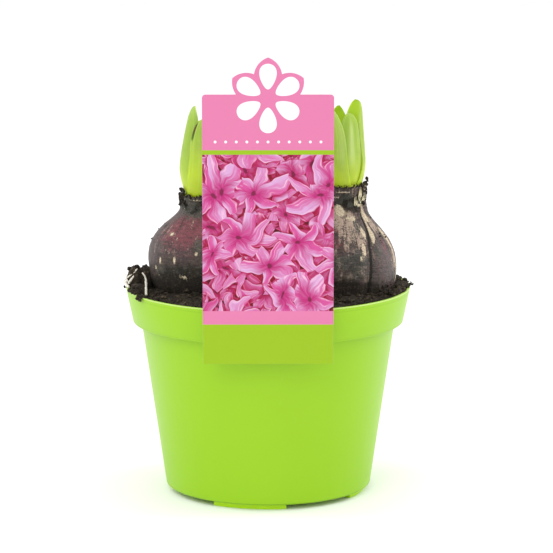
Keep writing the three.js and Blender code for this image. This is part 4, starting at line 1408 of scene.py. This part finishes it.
def printed_petals(g, x, z):
    """Where the emblem's white petals are."""
    rise = z - EMBLEM_CENTRE
    turn = g.math("ARCTAN2", x, rise) + SECTOR / 2
    forward, sideways, _ = petal_place(g, g.distance(x, rise), turn)
    u = (forward - PRINT_PETAL_FOOT) / PRINT_PETAL_LENGTH
    arch = g.math("SQRT", g.math("MAXIMUM", u * (1.0 - u), 0.0))
    return g.rise(abs(sideways) - arch * PRINT_PETAL_HALF * (0.5 + u * 0.5), 0.0, -0.16)


def printed_dots(g, x, z):
    """Where the row of white dots is."""
    dot_x = (g.math("FRACT", x / DOT_SPACING + 0.5) - 0.5) * DOT_SPACING
    in_row = g.rise(abs(x), DOT_ROW_HALF + 0.1, DOT_ROW_HALF - 0.1)
    off = g.distance(dot_x, z - DOT_LEVEL)
    return g.rise(off, DOT_RADIUS + DOT_EDGE, DOT_RADIUS - DOT_EDGE) * in_row


def label_material(settings):
    """The printed card: pink bands, green bands, a picture of florets and a plain emblem."""
    g = Graph("printed_card")
    x, y, z = g.split(g.place())

    def under(level):
        return g.rise(z, level + PRINT_EDGE, level - PRINT_EDGE)

    in_picture = (1.0 - under(PICTURE_FOOT)) * under(PICTURE_TOP)
    stripe = under(STRIPE_TOP) * (1.0 - under(PICTURE_TOP))
    green = g.math("MAXIMUM", stripe, under(GREEN_TOP))
    front = g.rise(y, CARD_FRONT + CARD_EDGE, CARD_FRONT + CARD_EDGE / 2)
    print_colour = g.coats(
        settings.pink_colour,
        (green, settings.green_colour),
        (in_picture, paint_picture(g, x, z, settings)),
        (printed_petals(g, x, z), settings.white_colour),
        (printed_dots(g, x, z), settings.white_colour),
    )
    colour = g.mix(front, settings.back_colour, print_colour)
    return g.surface(colour, 0.35, specular=0.2)


# Roots that lie bare over the left lump

ROOT_SEED = 7
ROOTS = [
    [(-52.9, -4.2, 92.8), (-51.9, -5.2, 91.7), (-51.4, -5.6, 90.5), (-51.3, -7.2, 89.7),
     (-51.1, -9.8, 89.4), (-51.0, -13.0, 89.0), (-50.9, -15.4, 88.4), (-50.8, -17.4, 87.1),
     (-50.7, -19.0, 86.0)],
    [(-56.3, -6.0, 91.9), (-57.2, -6.5, 90.7), (-58.2, -6.4, 89.3), (-58.6, -6.6, 88.6)],
    [(-60.4, -4.0, 89.4), (-59.8, -6.0, 88.7), (-58.8, -8.2, 87.9), (-58.2, -9.4, 87.6)],
]
# Thinner ones, and how thick they are beside the others.
ROOTLET_SHARE = 0.6
ROOTLETS = [
    [(-55.8, -4.6, 93.4), (-57.0, -5.0, 92.7), (-58.1, -5.3, 91.8), (-59.0, -5.0, 91.0)],
    [(-54.9, -3.6, 94.4), (-55.4, -4.2, 94.1), (-55.8, -4.6, 93.6)],
    [(-59.9, -3.2, 92.2), (-59.6, -4.4, 90.6), (-58.9, -5.4, 89.2)],
]


def root_material(settings):
    """Dry white root with brown stains."""
    g = Graph("white_root")
    place = g.place()
    stain = g.noise(place, 0.7, 4.0, 0.65)
    colour = g.mix(g.rise(stain, 0.56, 0.74), settings.colour, settings.stain_colour)
    return g.surface(colour, 0.6, stain, 0.2, 0.4)


# Settings that a user would change


def colour_property(name, description, value):
    return FloatVectorProperty(
        name=name,
        description=description,
        subtype="COLOR",
        size=3,
        min=0,
        max=1,
        default=value,
    )


def power_property(name, description, value):
    return FloatProperty(name=name, description=description, default=value, min=0, unit="POWER")


class StageSettings(bpy.types.PropertyGroup):
    floor_colour: colour_property("Floor", "Colour of the floor", (0.93, 0.93, 0.93))
    world_strength: FloatProperty(name="World", description="Strength of the world", default=1.06, min=0)
    key_power: power_property("Key light", "Power of the light in front", 5.4)
    side_power: power_property("Side lights", "Power of each of the lights at the sides", 5.0)


class PotSettings(bpy.types.PropertyGroup):
    colour: colour_property("Plastic", "Colour of the pot", (0.28, 0.53, 0.003))
    scuff_colour: colour_property("Scuffs", "Colour of scuffed plastic", (0.46, 0.62, 0.17))
    dust_colour: colour_property("Dust", "Colour of soil dust on the rim", (0.10, 0.10, 0.02))
    # The feet's colour is painted light: it makes them brighter, as if lit from the floor.
    foot_colour: colour_property("Feet", "Colour of the feet", (0.50, 0.80, 0.006))
    # The seam colour also paints the shade at the collar's foot.
    seam_and_shade_colour: colour_property("Seams", "Darker lines of the moulding", (0.15, 0.33, 0.002))
    # The edge colour is a painted highlight along the rim, with some wear.
    rim_shine_and_wear_colour: colour_property("Edge", "Pale line along the rim", (0.62, 0.74, 0.30))


class SoilSettings(bpy.types.PropertyGroup):
    dark_colour: colour_property("Dark soil", "Colour of moist soil", (0.010, 0.008, 0.006))
    brown_colour: colour_property("Brown soil", "Colour of drier soil", (0.047, 0.031, 0.014))
    tan_colour: colour_property("Flecks", "Colour of the palest flecks", (0.16, 0.12, 0.07))
    crumb_count: IntProperty(name="Crumbs", description="Number of crumbs on the bed", default=2600, min=0)
    fibre_count: IntProperty(name="Fibres", description="Number of peat fibres", default=110, min=0)


class BulbSettings(bpy.types.PropertyGroup):
    mauve: colour_property("Mauve", "Mauve ground of the skin", (0.066, 0.038, 0.038))
    brown: colour_property("Brown", "Brown ground of the skin", (0.072, 0.051, 0.041))
    grey: colour_property("Grey", "Worn grey skin", (0.098, 0.078, 0.074))
    red: colour_property("Red", "Purple red skin", (0.190, 0.040, 0.056))
    slate: colour_property("Slate", "Dark grey skin", (0.056, 0.058, 0.044))
    beige: colour_property("Beige", "Dry pale skin", (0.49, 0.36, 0.275))
    cream: colour_property("Cream", "Papery flakes", (0.72, 0.64, 0.43))
    dark: colour_property("Dark", "Dark lines and hollows", (0.022, 0.015, 0.012))
    earth: colour_property("Earth", "Brown flecks where soil clings", (0.060, 0.045, 0.028))
    # Skin covered with soil; the same colour paints the shade under the necks, low down and along the dark
    # shade lines.
    soil_and_shade: colour_property("Soiled", "Skin covered with soil", (0.010, 0.008, 0.005))


class ShootSettings(bpy.types.PropertyGroup):
    leaf_colour: colour_property("Leaf", "Colour of the leaves", (0.355, 0.485, 0.036))
    deep_colour: colour_property("Deep", "Greener parts of the leaves", (0.265, 0.405, 0.030))
    foot_colour: colour_property("Foot", "Yellower foot of the leaves", (0.46, 0.60, 0.009))
    pale_colour: colour_property("Pale", "Pale bands, veins and margins", (0.50, 0.62, 0.19))
    inner_colour: colour_property("Inner", "Inner face of the leaves", (0.50, 0.66, 0.030))
    rib_colour: colour_property("Ribs", "Darker stripes of the left shoot", (0.15, 0.30, 0.02))
    shade_colour: colour_property("Shade", "Dark green below the scorched margin", (0.05, 0.16, 0.003))
    scorched_colour: colour_property("Scorched", "Dead margin of one leaf", (0.065, 0.018, 0.008))


class LabelSettings(bpy.types.PropertyGroup):
    pink_colour: colour_property("Pink", "Pink bands", (0.645, 0.180, 0.348))
    green_colour: colour_property("Green", "Green bands", (0.277, 0.453, 0.011))
    white_colour: colour_property("White", "White print", (0.80, 0.80, 0.80))
    back_colour: colour_property("Back", "The card's back and edges", (0.70, 0.70, 0.68))
    petal_colour: colour_property("Petals", "Petals in the picture", (0.55, 0.075, 0.27))
    lilac_colour: colour_property("Lilac", "Light parts of the petals", (0.59, 0.33, 0.56))
    margin_colour: colour_property("Margins", "Pale margins of the petals", (0.78, 0.46, 0.60))
    throat_colour: colour_property("Throats", "Deep pink of the throats", (0.42, 0.016, 0.145))
    dusk_colour: colour_property("Dusk", "Tint of the florets that lie deeper", (0.70, 0.065, 0.27))
    gap_colour: colour_property("Gaps", "Dark gaps between florets", (0.13, 0.008, 0.030))


class RootSettings(bpy.types.PropertyGroup):
    colour: colour_property("Root", "Colour of the roots", (0.72, 0.68, 0.58))
    stain_colour: colour_property("Stains", "Stains on the roots", (0.22, 0.15, 0.08))
    radius: FloatProperty(
        name="Radius", description="Radius of a root", default=0.00052, min=0, unit="LENGTH"
    )


SETTINGS = {
    "hyacinth_stage": StageSettings,
    "hyacinth_pot": PotSettings,
    "hyacinth_soil": SoilSettings,
    "hyacinth_bulb": BulbSettings,
    "hyacinth_shoot": ShootSettings,
    "hyacinth_label": LabelSettings,
    "hyacinth_root": RootSettings,
}


# Operators


class HYACINTH_OT_pot(bpy.types.Operator):
    """Builds the pot"""

    bl_idname = "hyacinth.pot"
    bl_label = "Pot"

    def execute(self, context):
        bm = bmesh.new()
        spin_corners(bm, pot_corners(), POT_FACETS, FOOT_FIRST_TURN - FOOT_SPAN / 2)
        make_feet(bm)
        material = pot_material(context.scene.hyacinth_pot)
        pot = finish_piece(bm, "pot_body", material, ["pot"], sharp=POT_SHARP)
        drill_drains(pot)
        return {"FINISHED"}


class HYACINTH_OT_soil(bpy.types.Operator):
    """Builds the soil, its lumps, crumbs and fibres"""

    bl_idname = "hyacinth.soil"
    bl_label = "Soil"

    def clear_of_bulbs(self, x, y):
        return all(math.hypot(x - bulb.x, y - bulb.y) > BULB_CLEARANCE for bulb in BULBS)

    def clear_of_root(self, spot):
        left, right, front, back = BARE_PATCH
        return not (left < spot.x < right and front < spot.y < back)

    def make_bed(self, rng, material):
        """Builds the bed and its lumps. Gives back the places on the lumps where crumbs lie."""
        bm = bmesh.new()
        make_soil_bed(bm)
        points = []
        for lump in LUMPS:
            verts = make_lump(bm, *lump)
            points += [(vert.co.copy(), rng.random()) for vert in verts if vert.co.z > POT_HEIGHT - 3]
        bmesh.ops.recalc_face_normals(bm, faces=bm.faces)
        finish_piece(bm, "soil_bed", material, ["soil"])
        return [point for point, chance in points if chance < LUMP_CRUMB_SHARE]

    def spread_crumbs(self, rng, count):
        """Places on the bed where crumbs lie."""
        spots = []
        limit = wall_inside(SOIL_EDGE) - 1.0
        while len(spots) < count:
            x, y = spread(rng, 0, limit), spread(rng, 0, limit)
            if math.hypot(x, y) < limit and self.clear_of_bulbs(x, y):
                spots.append(Vector((x, y, soil_height(x, y))))
        return spots

    def spilled_clods(self, rng):
        clods = []
        for turn, turns, radius, reach, height, tall, number, largest in SPILLS:
            for _ in range(number):
                sideways = spread(rng, turn, turns)
                out = spread(rng, radius, reach)
                spot = around(sideways, out, spread(rng, height, tall))
                clods.append((spot, blend(SPILLED_RADIUS, largest, rng.random() ** 1.5)))
        return clods

    def clods_at(self, rng, spots):
        """A clod at each spot, with those near the rim drawn in from its edge."""
        clods = []
        for spot in filter(self.clear_of_root, spots):
            radius = CRUMB_RADIUS + CRUMB_GROWTH * rng.random() ** 3
            limit = RIM_RADIUS - radius - 0.1
            reach = math.hypot(spot.x, spot.y)
            if reach > limit:
                spot = Vector((spot.x * limit / reach, spot.y * limit / reach, spot.z))
            clods.append((spot + UP * 0.2 * radius, radius, 2 if radius > ROUNDER_CRUMB else 1))
        return clods

    def fibre(self, rng, spot):
        """A bent peat fibre that lies on the soil, as a job for a batch."""
        start = spot + UP * 0.4
        heading = around(360 * rng.random(), spread(rng, *FIBRE_HALF), spread(rng, 0.1, 0.5))
        swerve = around(360 * rng.random(), 0.7, 0.2)
        line = smooth_line([start - heading, start + swerve, start + heading], 3)
        middle = spread(rng, *FIBRE_RADIUS)
        radii = [middle * (1 - 0.7 * abs(2 * i / (len(line) - 1) - 1)) for i in range(len(line))]
        return lambda part: tube(part, line, radii, 5)

    def execute(self, context):
        settings = context.scene.hyacinth_soil
        rng = random.Random(SOIL_SEED)
        noise.seed_set(SOIL_SEED)
        material = soil_material(settings)
        lump_spots = self.make_bed(rng, material)
        spots = self.spread_crumbs(rng, settings.crumb_count) + lump_spots
        clods = self.spilled_clods(rng)
        clods += self.clods_at(rng, spots)
        finish_crumbs("soil_crumbs", material, rng, clods)
        fibres = [self.fibre(rng, spot) for spot in rng.sample(spots, settings.fibre_count)]
        finish_piece(in_batches(fibres), "soil_fibres", material)
        return {"FINISHED"}


class HYACINTH_OT_bulbs(bpy.types.Operator):
    """Builds the two bulbs, the torn scales of their necks and the crumbs that cling to them"""

    bl_idname = "hyacinth.bulbs"
    bl_label = "Bulbs"

    def clods_on(self, bulb, rng):
        """The clods that cling to a bulb, each a point and a radius."""
        line = bulb.line(4)
        clods = []
        for middle, level, turns, reach, number, largest in bulb.clods:
            for _ in range(number):
                turn = spread(rng, middle, turns)
                height = spread(rng, level, reach)
                nearest = min(line, key=lambda point: abs(point.z - height) - point.x * 0.001)
                radius = blend(CLOD_RADIUS, largest, rng.random() ** 2)
                out = nearest.x + bulb.change(turn, height, nearest.x) + radius * spread(rng, 0.2, 0.4)
                clods.append((bulb.axis + around(turn, out, bulb.z + height), radius))
        return clods

    def execute(self, context):
        settings = context.scene.hyacinth_bulb
        scales = scale_material(settings)
        for seed, bulb in enumerate(BULBS, BULB_SEED):
            rng = random.Random(seed)
            noise.seed_set(seed)
            name = "bulb_" + bulb.side
            bm = bmesh.new()
            make_bulb(bm, bulb)
            finish_piece(bm, name + "_skin", skin_material(settings, bulb), [name])
            strips = bmesh.new()
            make_neck_scales(strips, bulb, rng)
            finish_piece(strips, name + "_scales", scales)
            soil = soil_material(context.scene.hyacinth_soil)
            finish_crumbs(name + "_crumbs", soil, rng, self.clods_on(bulb, rng))
        return {"FINISHED"}


class HYACINTH_OT_shoots(bpy.types.Operator):
    """Builds the leaves of both shoots"""

    bl_idname = "hyacinth.shoots"
    bl_label = "Shoots"

    def execute(self, context):
        material = leaf_material(context.scene.hyacinth_shoot)
        for bulb in BULBS:
            bm = bmesh.new()
            uv = bm.loops.layers.uv.new("leaf")
            number = bm.verts.layers.float.new("leaf_number")
            make_core(bm, bulb)
            for leaf in bulb.shoot["leaves"]:
                make_leaf(bm, bulb, leaf, uv, number)
            bmesh.ops.recalc_face_normals(bm, faces=bm.faces)
            name = "shoot_" + bulb.side
            finish_piece(bm, name + "_leaves", material, [name])
        return {"FINISHED"}


class HYACINTH_OT_label(bpy.types.Operator):
    """Builds the printed label with its tongue and stake"""

    bl_idname = "hyacinth.label"
    bl_label = "Label"

    def execute(self, context):
        bm = bmesh.new()
        make_card(bm)
        make_stake(bm)
        material = label_material(context.scene.hyacinth_label)
        finish_piece(bm, "label_card", material, ["label"], sharp=CARD_SHARP)
        return {"FINISHED"}


class HYACINTH_OT_roots(bpy.types.Operator):
    """Builds the bare roots"""

    bl_idname = "hyacinth.roots"
    bl_label = "Roots"

    def execute(self, context):
        settings = context.scene.hyacinth_root
        bm = bmesh.new()
        noise.seed_set(ROOT_SEED)
        thick = settings.radius / MM
        thin = thick * ROOTLET_SHARE
        roots = [(points, thick) for points in ROOTS] + [(points, thin) for points in ROOTLETS]
        for points, most in roots:
            line = smooth_line(points, 8)
            line = [point + 0.12 * noise.noise_vector(point * 0.9) for point in line]
            radii = [most * (0.6 + 0.4 * ease(i / len(line), 0, 0.5)) for i in range(len(line))]
            tube(bm, line, radii, 12)
        bmesh.ops.recalc_face_normals(bm, faces=bm.faces)
        finish_piece(bm, "bare_roots", root_material(settings), ["roots"])
        return {"FINISHED"}


# Stage: lights that are aimed at the plant, and a camera that is worked out for a square picture of
# this many pixels a side

LIGHT_TARGET = Vector((0, 0, 0.1))
PICTURE_PIXELS = 553
FOCAL_PIXELS = 2824.8
CAMERA_DISTANCE = 1.2
CAMERA_ELEVATION = 12.02
AIM_POINT = Vector((0, 0, 0.05))
AIM_PIXEL = (267.98, 370.38)
SENSOR_MM = 36.0


def add_light(name, place, size, power):
    """A round light that is aimed at the middle of the plant."""
    data = bpy.data.lights.new(name, "AREA")
    data.shape = "DISK"
    data.size = size
    data.energy = power
    light = put_in_scene(name, data)
    light.location = place
    light.rotation_euler = (LIGHT_TARGET - Vector(place)).to_track_quat("-Z", "Y").to_euler()


class HYACINTH_OT_stage(bpy.types.Operator):
    """Sets up the floor, the lights and the camera"""

    bl_idname = "hyacinth.stage"
    bl_label = "Stage"

    def add_camera(self, scene):
        tilt = math.radians(CAMERA_ELEVATION)
        data = bpy.data.cameras.new("camera")
        data.sensor_width = SENSOR_MM
        data.lens = SENSOR_MM * FOCAL_PIXELS / PICTURE_PIXELS
        data.clip_start = 0.01
        camera = put_in_scene("camera", data)
        camera.location = AIM_POINT + CAMERA_DISTANCE * Vector((0, -math.cos(tilt), math.sin(tilt)))
        right = math.atan((AIM_PIXEL[0] - PICTURE_PIXELS / 2) / FOCAL_PIXELS)
        below = math.atan((AIM_PIXEL[1] - PICTURE_PIXELS / 2) / FOCAL_PIXELS)
        camera.rotation_euler = (math.pi / 2 - tilt + below, 0, right)
        scene.camera = camera

    def add_floor(self, settings):
        bm = bmesh.new()
        bmesh.ops.create_grid(bm, x_segments=1, y_segments=1, size=8)
        mesh = mesh_of(bm, "floor")
        mesh.materials.append(Graph("pale_floor").surface(settings.floor_colour, 0.8))
        put_in_scene("floor", mesh)

    def execute(self, context):
        scene = context.scene
        settings = scene.hyacinth_stage
        scene.view_settings.view_transform = "Standard"
        world = bpy.data.worlds.new("studio")
        world.use_nodes = True
        background = world.node_tree.nodes["Background"]
        background.inputs["Color"].default_value = (1, 1, 1, 1)
        background.inputs["Strength"].default_value = settings.world_strength
        scene.world = world
        self.add_floor(settings)
        add_light("key", (-0.45, -1.15, 0.95), 1.0, settings.key_power)
        add_light("left", (-1.0, 0.25, 0.8), 0.7, settings.side_power * 0.75)
        add_light("right", (1.0, 0.2, 0.7), 0.7, settings.side_power)
        self.add_camera(scene)
        return {"FINISHED"}


BUILDERS = [
    HYACINTH_OT_stage,
    HYACINTH_OT_pot,
    HYACINTH_OT_soil,
    HYACINTH_OT_bulbs,
    HYACINTH_OT_shoots,
    HYACINTH_OT_label,
    HYACINTH_OT_roots,
]


class HYACINTH_PT_panel(bpy.types.Panel):
    """Lists the parts and their settings"""

    bl_idname = "HYACINTH_PT_panel"
    bl_label = "Potted Hyacinth"
    bl_space_type = "VIEW_3D"
    bl_region_type = "UI"
    bl_category = "Hyacinth"

    def draw(self, context):
        for builder in BUILDERS:
            self.layout.operator(builder.bl_idname)
        for name, group in SETTINGS.items():
            box = self.layout.box()
            for setting in group.__annotations__:
                box.prop(getattr(context.scene, name), setting)


def register():
    for group in SETTINGS.values():
        bpy.utils.register_class(group)
    for listed in [*BUILDERS, HYACINTH_PT_panel]:
        bpy.utils.register_class(listed)
    for name, group in SETTINGS.items():
        setattr(bpy.types.Scene, name, PointerProperty(type=group))


def unregister():
    for name in SETTINGS:
        delattr(bpy.types.Scene, name)
    for listed in [HYACINTH_PT_panel, *reversed(BUILDERS)]:
        bpy.utils.unregister_class(listed)
    for group in reversed(SETTINGS.values()):
        bpy.utils.unregister_class(group)


def main():
    register()
    for builder in BUILDERS:
        group, name = builder.bl_idname.split(".")
        getattr(getattr(bpy.ops, group), name)()


if __name__ == "__main__":
    main()
